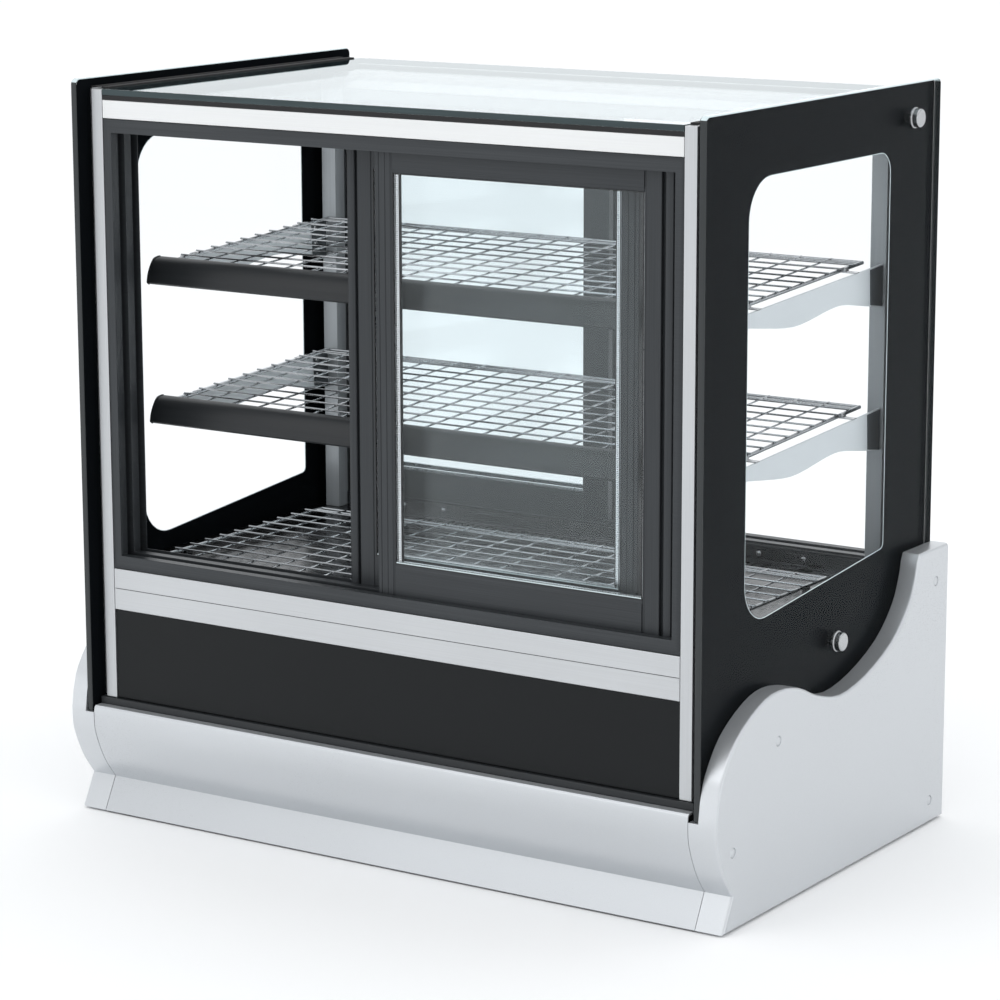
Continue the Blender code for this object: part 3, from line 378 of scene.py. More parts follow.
class Shape:
    """One piece under construction, made of closed solids that each take a finish."""

    def __init__(self, matrix=None):
        self.bm = bmesh.new()
        self.finishes = []
        self.matrix = matrix or Matrix.Identity(4)

    def index(self, finish):
        if finish not in self.finishes:
            self.finishes.append(finish)
        return self.finishes.index(finish)

    def add(self, bm, finish, by_face=None):
        bmesh.ops.recalc_face_normals(bm, faces=bm.faces)
        bm.normal_update()
        base = self.index(finish)
        for face in bm.faces:
            other = by_face(face) if by_face else None
            face.material_index = self.index(other) if other else base
        bmesh.ops.transform(bm, matrix=self.matrix, verts=bm.verts)
        mesh = bpy.data.meshes.new("part")
        bm.to_mesh(mesh)
        bm.free()
        self.bm.from_mesh(mesh)
        bpy.data.meshes.remove(mesh)

    def box(self, low, high, finish, bevel=0.0, segments=2, by_face=None):
        low, high = Vector(low), Vector(high)
        low, high = (Vector(map(min, low, high)), Vector(map(max, low, high)))
        bm = bmesh.new()
        bmesh.ops.create_cube(bm, size=1.0)
        bmesh.ops.scale(bm, vec=high - low, verts=bm.verts)
        bmesh.ops.translate(bm, vec=(low + high) / 2, verts=bm.verts)
        if bevel:
            soften(bm, bevel, segments)
        self.add(bm, finish, by_face)

    def prism(self, outline, axis, low, high, finish, bevel=0.0, segments=2, by_face=None, sharpest=28):
        low, high = min(low, high), max(low, high)
        bm = bmesh.new()
        ends = [[bm.verts.new(AXES[axis] @ Vector((u, v, w))) for u, v in outline] for w in (low, high)]
        bm.faces.new(ends[0])
        bm.faces.new(ends[1][::-1])
        for i in range(len(outline)):
            j = (i + 1) % len(outline)
            bm.faces.new((ends[0][i], ends[1][i], ends[1][j], ends[0][j]))
        bmesh.ops.recalc_face_normals(bm, faces=bm.faces)
        if bevel:
            soften(bm, bevel, segments, sharpest)
        self.add(bm, finish, by_face)

    def turned(self, profile, place, axis, finish, steps=40, by_face=None):
        """A profile of (radius, height) turned about an axis."""
        bm = bmesh.new()
        rings = []
        for radius, height in profile:
            if radius < 1e-6:
                rings.append([bm.verts.new((0, 0, height))])
            else:
                rings.append([bm.verts.new((radius * math.cos(2 * math.pi * k / steps),
                                            radius * math.sin(2 * math.pi * k / steps), height))
                              for k in range(steps)])
        loops = list(zip(rings, rings[1:]))
        if len(rings[0]) > 1 and len(rings[-1]) > 1:
            loops.append((rings[-1], rings[0]))
        for one, two in loops:
            for k in range(steps):
                j = (k + 1) % steps
                corners = [one[k % len(one)], one[j % len(one)], two[j % len(two)], two[k % len(two)]]
                unique = []
                for vert in corners:
                    if vert not in unique:
                        unique.append(vert)
                if len(unique) > 2:
                    bm.faces.new(unique)
        turn = Vector((0, 0, 1)).rotation_difference(Vector(axis)).to_matrix().to_4x4()
        bmesh.ops.transform(bm, matrix=Matrix.Translation(place) @ turn, verts=bm.verts)
        self.add(bm, finish, by_face)

    def tube(self, points, radius, finish, sides=10):
        """A round wire through a list of points, with flat ends."""
        pts = [Vector(p) for p in points]
        bm = bmesh.new()
        rings = []
        side = None
        for i, here in enumerate(pts):
            way = (pts[min(i + 1, len(pts) - 1)] - pts[max(i - 1, 0)]).normalized()
            if side is None:
                side = way.orthogonal().normalized()
            side = (side - way * side.dot(way)).normalized()
            up = way.cross(side)
            rings.append([bm.verts.new(here + radius * (side * math.cos(2 * math.pi * k / sides)
                                                        + up * math.sin(2 * math.pi * k / sides)))
                          for k in range(sides)])
        for one, two in zip(rings, rings[1:]):
            for k in range(sides):
                j = (k + 1) % sides
                bm.faces.new((one[k], one[j], two[j], two[k]))
        bm.faces.new(rings[0])
        bm.faces.new(rings[-1][::-1])
        self.add(bm, finish)

    def done(self, name, body, replaces=(), flat_normals=True, sharp=36):
        mesh = bpy.data.meshes.new(name)
        self.bm.to_mesh(mesh)
        self.bm.free()
        return piece(name, mesh, [FINISH[f] for f in self.finishes], body,
                     replaces, flat_normals, sharp)


FLAT_FIRST = 80      # how far wide faces set the shading at rounded edges
WELD = 0.000002      # points nearer than this are one


def piece(name, mesh, materials, body, replaces, flat_normals=True, sharp=36):
    """A mesh made into a shown piece that rides a body and hides the CAD nodes it replaces."""
    obj = bpy.data.objects.new(name, mesh)
    bpy.context.scene.collection.objects.link(obj)
    for mat in materials:
        mesh.materials.append(mat)
    mesh.shade_smooth()
    mesh.set_sharp_from_angle(angle=math.radians(sharp))
    if flat_normals:
        mod = obj.modifiers.new("even_shading", "WEIGHTED_NORMAL")
        mod.keep_sharp = True
        mod.weight = FLAT_FIRST
    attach(obj, body)
    if replaces:
        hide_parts(*replaces)
    return obj


def carved(bm, cutter):
    """A solid with the solids of a second mesh cut out of it."""
    parts = []
    for solid in (bm, cutter):
        mesh = bpy.data.meshes.new("work")
        solid.to_mesh(mesh)
        solid.free()
        obj = bpy.data.objects.new("work", mesh)
        bpy.context.scene.collection.objects.link(obj)
        parts.append(obj)
    cut = parts[0].modifiers.new("cut", "BOOLEAN")
    cut.operation = "DIFFERENCE"
    cut.object = parts[1]
    bpy.context.view_layer.update()
    result = bmesh.new()
    result.from_mesh(parts[0].evaluated_get(bpy.context.evaluated_depsgraph_get()).data)
    for obj in parts:
        mesh = obj.data
        bpy.data.objects.remove(obj)
        bpy.data.meshes.remove(mesh)
    return result


def refined(node, finish, width=0.0006, segments=2, sharpest=28, by_face=None, cutter=None):
    """A CAD solid with rounded edges, in place of the node itself."""
    source = NODES[node]
    bm = bmesh.new()
    bm.from_mesh(source.data)
    bmesh.ops.remove_doubles(bm, verts=bm.verts, dist=WELD)
    bmesh.ops.dissolve_limit(bm, angle_limit=math.radians(0.5), verts=bm.verts, edges=bm.edges)
    bmesh.ops.recalc_face_normals(bm, faces=bm.faces)
    soften(bm, width, segments, sharpest)
    if cutter:
        bm = carved(bm, cutter)
    shape = Shape()
    shape.add(bm, finish, by_face)
    return shape.done(node + "_detail", source["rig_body"], (node,))


def repaint(node, finish):
    """A CAD node that shows as it is, with a better finish."""
    obj = NODES[node]
    obj.data.materials.clear()
    obj.data.materials.append(FINISH[finish])


# ---- base ------------------------------------------------------------------------
COVER_PLUGS = ((0.134, 0.197), (0.033, 0.0935), (0.518, 0.031), (0.5225, 0.304))   # from front, height
PAINTED_HIGHLIGHT_SLANT = 0.45       # a cover's faces turned further than this from the side get a painted highlight: a lighter, more metallic copy of the silver paint
DIMPLE = ((0, 0.0010), (0.0066, 0.0010), (0.0061, -0.0002), (0.0060, -0.0024), (0, -0.0024))
PLUG = ((0, -0.0001), (0.0022, -0.0002), (0.0038, -0.0004), (0.0047, -0.0007), (0.0051, -0.0012),
        (0.0051, -0.0026), (0, -0.0026))
FOOT_RIM = ((0.0190, 0.0070), (0.0184, 0.0066), (0.0188, 0.0062), (0.0172, 0.0006), (0.0166, 0.0),
            (0.0100, 0.0), (0.0096, 0.0010), (0, 0.0010))


# rim faces of a base cover take the lighter copy of the silver paint, as painted highlight
def painted_highlight_band(face):
    return "silver_painted_highlight_band" if abs(face.normal.x) < PAINTED_HIGHLIGHT_SLANT else None


def base():
    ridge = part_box("right_base_cover")[1].x
    plugs = Shape()
    for hand, side in SIDES:
        dimples = Shape()
        for y, z in COVER_PLUGS:
            face = (side * ridge, FRONT + y, z)
            dimples.turned(DIMPLE, face, (side, 0, 0), "silver_paint", 28)
            plugs.turned(PLUG, face, (side, 0, 0), "silver_paint", 28)
        refined(f"{hand}_base_cover", "silver_paint", 0.0005, by_face=painted_highlight_band, cutter=dimples.bm)
    plugs.done("cover_plugs", CASE)
    refined("front_apron", "silver_paint", 0.0004)
    refined("rear_base_panel", "silver_paint", 0.0003)
    refined("front_lower_panel", "panel_black", 0.0004)
    for name in ("base_tray", "blower_housing", "blower_motor"):
        repaint(name, "galvanised")
    repaint("base_frame", "rail_black")
    repaint("blower_wheel", "plastic")
    repaint("heater_element", "steel_round")

    for end in ("front", "rear"):
        for hand in ("left", "right"):
            node = f"foot_{end}_{hand}"
            low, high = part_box(node)
            x, y = middle(low.x, high.x), middle(low.y, high.y)
            shoulder = ((0, high.z), (0.0185, high.z), (0.0198, high.z - 0.0008), (0.0200, high.z - 0.0014))
            foot = Shape()
            foot.turned(shoulder + FOOT_RIM, (x, y, 0), (0, 0, 1), "rubber")
            foot.done(f"{node}_detail", CASE, (node,))


# ---- upright structure -----------------------------------------------------------
SURROUND_SIDE = 0.3866      # the side members of a door surround start here
GROOVE = (0.2871, 0.2877)   # heights of the shadow line along the front lower bar
GASKET_LINE_SET = 0.0105    # from the side glass to the middle of the line on the roof gasket
WINDOW = ((0.109, 0.3260), (0.444, 0.3560), (0.444, 0.8270), (0.109, 0.8270))    # from the front, height
WINDOW_RADII = (0.045, 0.008, 0.025, 0.048)
STANDOFF = ((0, 0.0121), (0.0088, 0.0123), (0.0098, 0.0120), (0.0106, 0.0112), (0.0110, 0.0104),
            (0.0110, 0.0052), (0.0113, 0.0047), (0.0121, 0.0044), (0.0125, 0.0038), (0.0125, 0.0009),
            (0.0122, 0.0005), (0.0050, 0.0004), (0.0050, -0.0085), (0, -0.0085))


def upright_grain(face):
    return "frame_z" if abs(face.calc_center_median().x) > SURROUND_SIDE else None


def structure():
    for end in ("front", "rear"):
        for hand in ("left", "right"):
            refined(f"post_{end}_{hand}", "aluminium_z", 0.0006)
        refined(f"{end}_lower_bar", "aluminium_x", 0.0004)
        # header bars take the lighter aluminium, as painted sheen
        refined(f"{end}_header_bar", "aluminium_painted_sheen", 0.0006)
        refined(f"{end}_door_surround", "frame_x", 0.0006, by_face=upright_grain)
    for hand in ("left", "right"):
        refined(f"{hand}_upright", "upright_z", 0.0005)
    refined("top_gasket", "rubber", 0.0004)

    groove = Shape()
    low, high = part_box("front_lower_bar")
    groove.box((low.x + 0.001, low.y + 0.0003, GROOVE[0]), (high.x - 0.001, low.y + 0.0007, GROOVE[1]),
               "rail_black")
    groove.done("front_lower_bar_groove", CASE)

    lines = Shape()
    low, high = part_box("top_gasket")
    for side in (-1, 1):
        x = side * (GLASS_IN - GASKET_LINE_SET)
        lines.box((x - 0.0012, low.y + 0.002, high.z - 0.0022),
                  (x + 0.0012, high.y - 0.002, high.z - 0.0013), "aluminium_x", 0.0003)
    lines.done("gasket_line", CASE)


def window_highlight_line(hand, side):
    """Thin bright line of painted highlight just inside the edge of the clear window, in the glass border.
    """
    wide = 0.0007
    ring = [Vector((FRONT + y, z)) for y, z in rounded(WINDOW, WINDOW_RADII)]
    centre = sum(ring, Vector((0, 0))) / len(ring)
    near, far = side * (GLASS_IN - 0.0002), side * (GLASS_IN - 0.00078)
    bm = bmesh.new()
    rows = []
    for x, inward in ((near, 0.0), (near, wide), (far, wide), (far, 0.0)):
        row = []
        for i, point in enumerate(ring):
            way = (ring[(i + 1) % len(ring)] - ring[i - 1]).normalized()
            out = Vector((way.y, -way.x))
            if out.dot(point - centre) < 0:
                out = -out
            moved = point - out * inward
            row.append(bm.verts.new((x, moved.x, moved.y)))
        rows.append(row)
    for one, two in zip(rows, rows[1:] + rows[:1]):
        for i in range(len(ring)):
            j = (i + 1) % len(ring)
            bm.faces.new((one[i], one[j], two[j], two[i]))
    line = Shape()
    line.add(bm, "glass_edge_painted_highlight")
    line.done(f"{hand}_window_highlight_line", CASE)


def side_panes():
    low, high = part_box("right_side_glass")
    outline = rounded([(low.y, low.z), (high.y, low.z), (high.y, high.z), (low.y, high.z)],
                      [0.0, 0.0, 0.007, 0.007])

    def kind(face):
        if abs(face.normal.x) > 0.98:
            return None
        top = face.calc_center_median().z > high.z - 0.004
        # the top edge is coloured bright as painted highlight; the other edges stay dark
        return "glass_edge_painted_highlight" if top else "glass_edge_dark"

    for hand, side in SIDES:
        glass = Shape()
        glass.prism(outline, "X", side * GLASS_IN, side * GLASS_OUT, "clear", 0.0016, 3, kind, 60)
        glass.done(f"{hand}_side_pane", CASE, (f"{hand}_side_glass",))
        repaint(f"{hand}_glass_border", "print")
        window_highlight_line(hand, side)
        for level in ("upper", "lower"):
            node = f"{hand}_{level}_standoff"
            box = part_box(node)
            centre = (side * GLASS_OUT, middle(box[0].y, box[1].y), middle(box[0].z, box[1].z))
            knob = Shape()
            knob.turned(STANDOFF, centre, (side, 0, 0), "steel_round", 48)
            knob.done(node + "_detail", CASE, (node,))


def roof():
    low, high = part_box("top_glass")
    glass = Shape()
    glass.box(low, high, "clear_roof", 0.0009, 3,
              lambda face: None if abs(face.normal.z) > 0.9 else "glass_edge_roof")
    glass.done("roof_pane", CASE, ("top_glass",))


def lamp():
    """Lighting bar: a diffuser that narrows towards the rear, between two end caps."""
    low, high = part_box("led_bar")
    nose = (0.8636, 0.8744)      # heights of its rear edge
    bar = Shape()
    bar.prism([(low.y, low.z), (low.y + 0.004, low.z), (high.y - 0.001, nose[0]), (high.y, nose[0] + 0.001),
               (high.y, nose[1] - 0.001), (high.y - 0.001, nose[1]), (low.y + 0.004, high.z),
               (low.y, high.z)], "X", low.x + 0.004, high.x - 0.004, "diffuser", 0.0004)
    for side in (-1, 1):
        bar.prism([(low.y, low.z), (high.y, nose[0]), (high.y, nose[1]), (low.y, high.z)], "X",
                  side * (high.x - 0.0036), side * high.x, "plastic", 0.0006)
    bar.done("led_bar_detail", CASE, ("led_bar",))


# ---- doors -------------------------------------------------------------------------
DOOR_GLASS = (0.3650, 0.8160)     # heights of the clear area of a door
PULL_W = 0.037                    # width of the stile with the pull
MEET_W = 0.024                    # and of the stile at the meeting edge
PULL_STILE = ((0.0, 0.0022), (0.0007, 0.0010), (0.0022, 0.0003), (0.0050, 0.0), (0.0078, 0.0002),
              (0.0098, 0.0009), (0.0108, 0.0020), (0.0110, 0.0056), (0.0150, 0.0056), (0.0150, 0.0012),
              (0.0158, 0.0004), (0.0330, 0.0004), (0.0338, 0.0008), (0.0340, 0.0014), (0.0350, 0.0016),
              (PULL_W, 0.0017))                        # across the door, back from its face
MEET_STILE = ((0.0, 0.0012), (0.0008, 0.0004), (0.0046, 0.0004), (0.0050, 0.0012), (0.0058, 0.0012),
              (0.0062, 0.0003), (0.0130, 0.0003), (0.0134, 0.0010), (0.0140, 0.0010), (0.0144, 0.0003),
              (0.0205, 0.0003), (0.0210, 0.0010), (MEET_W, 0.0017))
SPACER = {"pull": 0.0014, "meet": 0.0066, "head": 0.0012, "sill": 0.0030}      # width in sight
UNIT_HALF = 0.0040                # half the thickness of the sealed double pane
SKIN = 0.0016                     # thickness of each pane
LAP = 0.0030                      # of the panes behind the frame
HIDE = 0.0026                     # of the spacer behind the frame
LOOSE = 0.0001                    # between pieces that would otherwise touch


def rail(leaf, y0, y1, outer, glass, g0, g1):
    """Bottom or head member: from the door's own edge at outer to the edge of the glass."""
    out = 1 if outer > glass else -1
    step, bend = (0.0052, 0.0044) if out > 0 else (0.0054, 0.0046)
    section = [(y1, outer), (y0 + 0.0012, outer), (y0 + 0.0004, outer - out * 0.0008),
               (y0 + 0.0004, glass + out * step), (y0 + 0.0010, glass + out * bend), (y0 + 0.0017, glass),
               (y1, glass)]
    leaf.prism(section, "X", g0 + 0.0002, g1 - 0.0002, "frame_x", 0.0002, 1)


def door(name):
    """Frame of four extrusions and a sealed double pane, made facing the front."""
    low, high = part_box(name + "_frame")
    rear = low.y > 0
    if rear:
        low, high = Vector((-high.x, -high.y, low.z)), Vector((-low.x, -low.y, high.z))
    pull = -1 if name in ("front_left_door", "rear_right_door") else 1
    matrix = HALF_TURN if rear else Matrix.Identity(4)
    outer = low.x if pull < 0 else high.x       # edge with the pull
    inner = high.x if pull < 0 else low.x       # meeting edge
    into = -pull                                # from the pull edge into the door
    y0, y1 = low.y, high.y
    z0, z1 = DOOR_GLASS

    leaf = Shape(matrix)
    for stile, edge, way in ((PULL_STILE, outer, into), (MEET_STILE, inner, -into)):
        face = [(0.0, y1)] + [(x, y0 + y) for x, y in stile] + [(stile[-1][0], y1)]
        leaf.prism([(edge + way * x, y) for x, y in face], "Z", low.z, high.z, "frame_z", 0.0002, 1)
    g0, g1 = sorted((outer + into * PULL_W, inner - into * MEET_W))
    rail(leaf, y0, y1, low.z, z0, g0, g1)
    rail(leaf, y0, y1, high.z, z1, g0, g1)
    leaf.done(name + "_leaf", name, (name + "_frame",))

    centre = middle(y0, y1)
    unit = Shape(matrix)
    for y in (centre - UNIT_HALF, centre + UNIT_HALF - SKIN):
        unit.box((g0 - LAP, y, z0 - LAP), (g1 + LAP, y + SKIN, z1 + LAP), "clear_door", 0.0, 1,
                 lambda face: None if abs(face.normal.y) > 0.98 else "glass_edge_teal")
    unit.done(name + "_panes", name, (name + "_glass",))

    bars = Shape(matrix)
    a, b = centre - UNIT_HALF + SKIN + LOOSE, centre + UNIT_HALF - SKIN - LOOSE
    left, right = ("pull", "meet") if pull < 0 else ("meet", "pull")
    for x, way, edge in ((g0, 1, left), (g1, -1, right)):
        show = SPACER[edge]
        bars.box((x - way * HIDE, a, z0 - HIDE), (x + way * show, b, z1 + HIDE), "spacer_xz", 0.0003, 1,
                 lambda face: "spacer_side" if abs(face.normal.x) > 0.9 else None)
        bars.box((x + way * (show + LOOSE), a, z0 + SPACER["sill"]),
                 (x + way * (show + 0.0010), b, z1 - SPACER["head"]), "seal")
    x0, x1 = g0 + SPACER[left] + 2 * LOOSE, g1 - SPACER[right] - 2 * LOOSE
    for z, way, edge in ((z0, 1, "sill"), (z1, -1, "head")):
        bars.box((x0, a, z - way * HIDE), (x1, b, z + way * SPACER[edge]), "spacer_xz", 0.0003, 1,
                 lambda face: "spacer_flat" if abs(face.normal.z) > 0.9 else None)
    bars.done(name + "_spacer", name)

    bead = Shape(matrix)
    front, back = y0 + 0.0006, centre - UNIT_HALF - LOOSE
    for x, way in ((g0, 1), (g1, -1)):
        bead.box((x + way * LOOSE, front, z0), (x + way * 0.0009, back, z1), "seal")
    for z, way in ((z0, 1), (z1, -1)):
        bead.box((g0 + 0.001, front, z + way * LOOSE), (g1 - 0.001, back, z + way * 0.0009), "seal")
    # bright strip along the foot of the pane: painted highlight on the bead
    bead.box((g0 + 0.001, centre - UNIT_HALF - 0.0008, z0 + 0.0011), (g1 - 0.001, back, z0 + 0.0024),
             "glass_edge_painted_highlight", 0.0002, 1)
    bead.done(name + "_bead", name)


# ---- shelves -----------------------------------------------------------------------
SHELF_Z = {"upper": 0.6935, "lower": 0.5215}     # height of the wires at the rear rod
SHELF_TILT = math.radians(3.1)
SHELF_REAR = 0.452
SHELF_DEPTH = 0.334
RACK_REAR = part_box("deck_rack")[1].y
RACK_Z = 0.3200
SCREW_Z = 0.3180
WIRE_CLIP = ((0.3862, -0.0032), (0.4060, -0.0032), (0.4062, -0.0022), (0.3925, -0.0020),
             (0.3905, 0.0022), (0.3880, 0.0030), (0.3860, 0.0022))
RAIL_CURL = ((0.0035, 0.0045), (-0.0030, 0.0028), (-0.0095, -0.0040), (-0.0150, -0.0135),
             (-0.0180, -0.0235))
HOOK_PLATE = ((-0.0190, -0.0045), (0.0125, -0.0045), (0.0100, -0.0530), (0.0000, -0.0505),
              (-0.0190, -0.0465))
HOOK_FACES = ((0.4023, 0.4008), (0.4057, 0.4069))     # a plate on the inner and the outer face; both are near black as painted shade at the bracket's root
RIVET = ((0, 0.0012), (0.0026, 0.0010), (0.0034, 0.0), (0, 0.0))
SCREW = ((0, 0.0012), (0.0022, 0.0011), (0.0032, 0.0005), (0.0035, 0.0), (0, 0.0))


def wires(shape, half, columns=19, rows=11):
    """Round wires: side rods, doubled rear rods, and a grid on top."""
    rod, cross_rod, thin = 0.0024, 0.0022, 0.0012      # radii
    depth = SHELF_DEPTH
    for side in (-1, 1):
        x = side * (half - rod)
        shape.tube([(x, -depth + 0.002, -0.0004), (x, -0.002, -0.0004)], rod, "chrome", 14)
    for y in (-0.0026, -0.0150, -depth + 0.0026):
        shape.tube([(-half + 0.001, y, -0.0003), (half - 0.001, y, -0.0003)], cross_rod, "chrome", 12)
    pitch = 2 * (half - rod) / columns
    for k in range(1, columns):
        x = -half + rod + k * pitch
        shape.tube([(x, -depth + 0.0008, 0.0011), (x, -0.0008, 0.0011)], thin, "chrome", 8)
    step = (depth - 0.0052) / rows
    for k in range(1, rows):
        y = -0.0026 - k * step
        shape.tube([(-half - 0.0026, y, 0.0030), (half + 0.0026, y, 0.0030)], thin, "chrome", 8)


def shelf_place(z):
    """The frame of a shelf: its origin on the rear rod, tilted down towards the front."""
    return Matrix.Translation((0, FRONT + SHELF_REAR, z)) @ Matrix.Rotation(SHELF_TILT, 4, "X")


def shelves():
    for level, z in SHELF_Z.items():
        body = f"{level}_shelf_unit"
        grid = Shape(shelf_place(z))
        wires(grid, 0.389)
        for side in (-1, 1):
            for y in (-0.282, -0.050):
                grid.prism([(side * x, height) for x, height in WIRE_CLIP], "Y", -y - 0.0045, -y + 0.0045,
                           "steel_round", 0.0003, 1)
        grid.done(f"{level}_shelf_wires", body, (f"{level}_shelf",), False)

        node = f"{level}_price_rail"
        rail_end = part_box(node)[1].x
        price_rail = Shape(shelf_place(z))
        front = -SHELF_DEPTH - 0.0006
        curl = smooth([(front + y, height) for y, height in RAIL_CURL], 6)
        line = [(front + 0.0085, 0.0045)] + curl + [(front - 0.0150, -0.0262)]
        price_rail.prism(strip(line, 0.0016), "X", -rail_end + 0.0022, rail_end - 0.0022, "rail_black",
                         0.0003, 1, None, 50)
        rim = offset(line, -0.0007)
        cap = rim + offset(rim, 0.0036)[::-1]
        for side in (-1, 1):
            price_rail.prism(cap, "X", side * (rail_end - 0.0024), side * rail_end, "rail_black",
                             0.0004, 2, None, 50)
        lip = [(front + 0.0085, 0.0029), (front + 0.0085, -0.0010), (front + 0.0070, -0.0010),
               (front + 0.0070, 0.0029)]
        price_rail.prism(lip, "X", -rail_end + 0.0030, rail_end - 0.0030, "rail_black")
        price_rail.done(f"{node}_detail", body, (node,))

    rack = Shape(Matrix.Translation((0, RACK_REAR, RACK_Z)))
    wires(rack, 0.372)
    rack.done("deck_rack_wires", "deck_rack_unit", ("deck_rack",), False)


def brackets():
    for level, z in SHELF_Z.items():
        for hand, side in SIDES:
            refined(f"{level}_{hand}_bracket", "bracket_paint", 0.0005)
            plate = Shape(shelf_place(z))
            # dark plates on both faces of the bracket's root: painted shade
            for near, far in HOOK_FACES:
                plate.prism(HOOK_PLATE, "X", side * near, side * far, "hook_plate_painted_shade", 0.0003, 1)
            for y, height in ((-0.0125, -0.0130), (-0.0125, -0.0330)):
                place = (side * HOOK_FACES[0][1], y, height)
                plate.turned(RIVET, place, (-side, 0, 0), "steel_round", 20)
            plate.done(f"{level}_{hand}_hook_plate", CASE)


def deck():
    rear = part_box("deck_pan")[1].y
    repaint("deck_pan", "steel_x")
    screws = Shape()
    for x in (-0.296, -0.234, 0.234, 0.296):
        screws.turned(SCREW, (x, rear - 0.0020, SCREW_Z), (0, -1, 0), "steel_round", 20)
    screws.done("deck_screws", CASE)


# ---- rear controls -----------------------------------------------------------------
KNOB_SKIRT = ((0.0152, 0.0036), (0.0178, 0.0026), (0.0184, 0.0018), (0.0185, 0.0008), (0.0035, 0.0008),
              (0.0035, -0.0180), (0, -0.0180))
GRIPS = 20                  # ridges round the knob
TICKS = 11                  # marks round it on the panel
SWITCH_Z = 0.2050
BEZEL_OUT = (0.0135, 0.0165)      # half width and half height, outside and inside
BEZEL_IN = (0.0114, 0.0144)
NUT_RADIUS = 0.0124


def thermostat(face):
    low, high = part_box("thermostat_knob")
    x, z = middle(low.x, high.x), middle(low.z, high.z)
    centre = Matrix.Translation((x, face, z))
    top = high.y - face
    knob = Shape()
    knob.turned(((0, top), (0.0128, top), (0.0138, top - 0.0004), (0.0143, top - 0.0012)) + KNOB_SKIRT,
                (x, face, z), (0, 1, 0), "plastic", 48)
    for k in range(GRIPS):
        knob.matrix = centre @ Matrix.Rotation(2 * math.pi * k / GRIPS, 4, "Y")
        knob.box((0.0134, 0.0040, -0.0009), (0.0157, top - 0.0018, 0.0009), "plastic", 0.0003, 1)
    knob.matrix = centre
    knob.box((-0.0005, top - 0.0003, 0.0030), (0.0005, top + 0.0002, 0.0120), "mark")
    knob.done("thermostat_knob_detail", "thermostat_dial", ("thermostat_knob",))

    dial = Shape()
    for k in range(TICKS):
        dial.matrix = centre @ Matrix.Rotation(math.radians(-135 + 27 * k), 4, "Y")
        length = 0.0030 if k % 5 == 0 else 0.0018
        dial.box((-0.0003, -0.0001, 0.0205), (0.0003, 0.00012, 0.0205 + length), "plastic")
    dial.done("dial_ticks", CASE)


def switch(face):
    refined("power_switch", "plastic", 0.0005)
    low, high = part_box("power_switch")
    x, z = middle(low.x, high.x), SWITCH_Z
    (wide, tall), (inner, reach) = BEZEL_OUT, BEZEL_IN
    bezel = Shape()
    for x0, z0, x1, z1 in ((-wide, reach, wide, tall), (-wide, -tall, wide, -reach),
                           (-wide, -reach, -inner, reach), (inner, -reach, wide, reach)):
        bezel.box((x + x0, face + 0.0001, z + z0), (x + x1, face + 0.0022, z + z1), "plastic", 0.0003, 1)
    bezel.done("switch_bezel", CASE)


def cable_entry(face):
    low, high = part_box("cable_gland")
    x, z = middle(low.x, high.x), middle(low.z, high.z)
    place, back = (x, face, z), (0, 1, 0)
    tip = high.y - face
    corners = [math.radians(60 * k) for k in range(6)]
    hexagon = [(x + NUT_RADIUS * math.cos(a), z + NUT_RADIUS * math.sin(a)) for a in corners]
    gland = Shape()
    gland.prism(hexagon, "Y", -(face + 0.0004), -(face + 0.0052), "plastic", 0.0005)
    gland.turned(((0.0040, 0.0052), (0.0112, 0.0052), (0.0112, 0.0090), (0.0100, 0.0110), (0.0078, tip),
                  (0.0040, tip - 0.0004)), place, back, "plastic", 40)
    gland.turned(((0, 0.0054), (0.0039, 0.0054), (0.0039, tip - 0.0012), (0, tip - 0.0012)),
                 place, back, "rubber", 28)
    gland.turned(((0, 0.0003), (0.0080, 0.0003), (0.0080, -0.0115), (0, -0.0115)),
                 place, back, "plastic", 32)
    gland.done("cable_gland_detail", CASE, ("cable_gland",))


def controls():
    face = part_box("rear_base_panel")[1].y
    thermostat(face)
    switch(face)
    cable_entry(face)


# ---- stage -------------------------------------------------------------------------
FLOOR_HALF = 45.0     # half the side of the floor
SKY = 1.38            # strength of the brightest part of the studio's soft dome
DOME = ((0.0, 0.95), (0.22, 0.90), (0.45, 0.50), (0.72, 0.80), (1.0, 1.0))    # height, share of SKY
LAMPS = (             # name, place, aim, side, watts
    ("key", (-1.6, -3.2, 3.4), (0, 0, 0.5), 2.6, 24.0),
    ("side", (4.2, -1.0, 2.2), (0, 0, 0.4), 2.4, 6.0),
    ("back", (-0.5, 3.4, 3.0), (0, 0, 0.4), 2.6, 8.0),
)


def floor():
    mat = bpy.data.materials.new("floor")
    _, shader, _ = nodes_of(mat)
    shader.inputs["Base Color"].default_value = (0.96, 0.96, 0.96, 1.0)
    shader.inputs["Roughness"].default_value = 0.9
    shader.inputs["Specular IOR Level"].default_value = 0.0
    bm = bmesh.new()
    bmesh.ops.create_grid(bm, x_segments=2, y_segments=2, size=FLOOR_HALF)
    mesh = bpy.data.meshes.new("floor")
    bm.to_mesh(mesh)
    bm.free()
    mesh.materials.append(mat)
    obj = bpy.data.objects.new("floor", mesh)
    bpy.context.scene.collection.objects.link(obj)


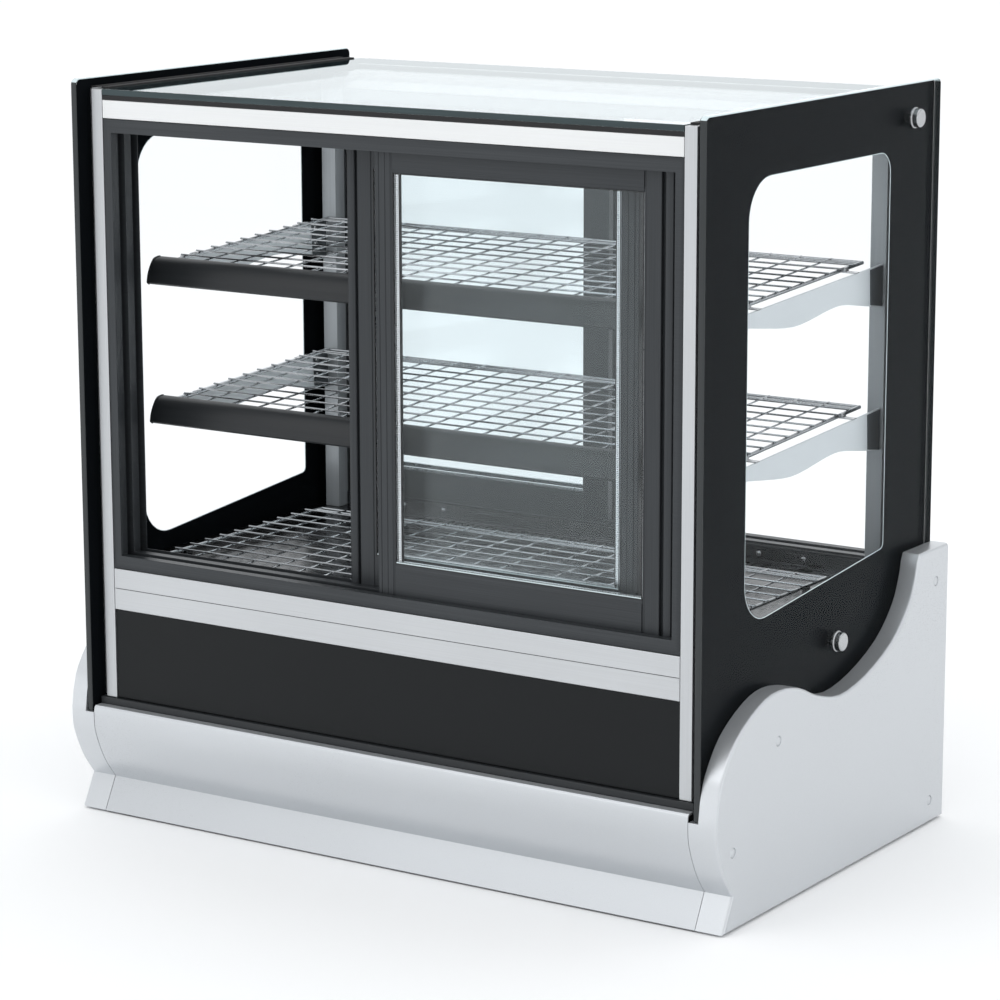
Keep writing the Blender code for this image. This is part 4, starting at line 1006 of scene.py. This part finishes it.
def studio():
    world = bpy.context.scene.world or bpy.data.worlds.new("studio")
    bpy.context.scene.world = world
    world.use_nodes = True
    tree = world.node_tree
    sky = tree.nodes["Background"]
    sky.inputs["Color"].default_value = (0.97, 0.985, 1.0, 1.0)
    way = tree.nodes.new("ShaderNodeTexCoord")
    parts = tree.nodes.new("ShaderNodeSeparateXYZ")
    ramp = tree.nodes.new("ShaderNodeValToRGB")
    ramp.color_ramp.interpolation = "EASE"
    while len(ramp.color_ramp.elements) < len(DOME):
        ramp.color_ramp.elements.new(0.5)
    for stop, (place, level) in zip(ramp.color_ramp.elements, DOME):
        stop.position = place
        stop.color = (level, level, level, 1.0)
    tree.links.new(way.outputs["Generated"], parts.inputs["Vector"])
    tree.links.new(parts.outputs["Z"], ramp.inputs["Fac"])
    tree.links.new(maths(tree, "MULTIPLY", ramp.outputs["Color"], SKY), sky.inputs["Strength"])
    for name, place, aim, size, power in LAMPS:
        data = bpy.data.lights.new(name, "AREA")
        data.shape = "SQUARE"
        data.size = size
        data.energy = power
        light = bpy.data.objects.new(name, data)
        light.location = place
        light.rotation_euler = (Vector(aim) - Vector(place)).to_track_quat("-Z", "Y").to_euler()
        bpy.context.scene.collection.objects.link(light)


# ---- camera ------------------------------------------------------------------------
VIEW_ANGLES = (33.299, 11.885, -0.135)        # yaw, pitch and roll, degrees
VIEW_PLACE = (2.2587, -3.4520, 1.2635)
SENSOR = 36.0                                 # mm
LENS = 125.44                                 # mm


def camera():
    """The photograph's viewpoint, without shift."""
    yaw, pitch, roll = (math.radians(angle) for angle in VIEW_ANGLES)
    ahead = Vector((-math.sin(yaw) * math.cos(pitch), math.cos(yaw) * math.cos(pitch), -math.sin(pitch)))
    level = Vector((math.cos(yaw), math.sin(yaw), 0.0))
    up = level.cross(ahead)
    right = math.cos(roll) * level + math.sin(roll) * up
    up = right.cross(ahead)
    data = bpy.data.cameras.new("camera")
    data.sensor_width = SENSOR
    data.lens = LENS
    data.clip_end = 200.0
    cam = bpy.data.objects.new("camera", data)
    turn = Matrix((right, up, -ahead)).transposed().to_4x4()
    cam.matrix_world = Matrix.Translation(VIEW_PLACE) @ turn
    bpy.context.scene.collection.objects.link(cam)
    bpy.context.scene.camera = cam


camera()
floor()
studio()
bpy.context.scene.view_settings.view_transform = "Standard"
bpy.context.scene.cycles.transparent_max_bounces = 40
base()
structure()
side_panes()
roof()
lamp()
for which in ("front_left_door", "front_right_door", "rear_left_door", "rear_right_door"):
    door(which)
shelves()
brackets()
deck()
controls()
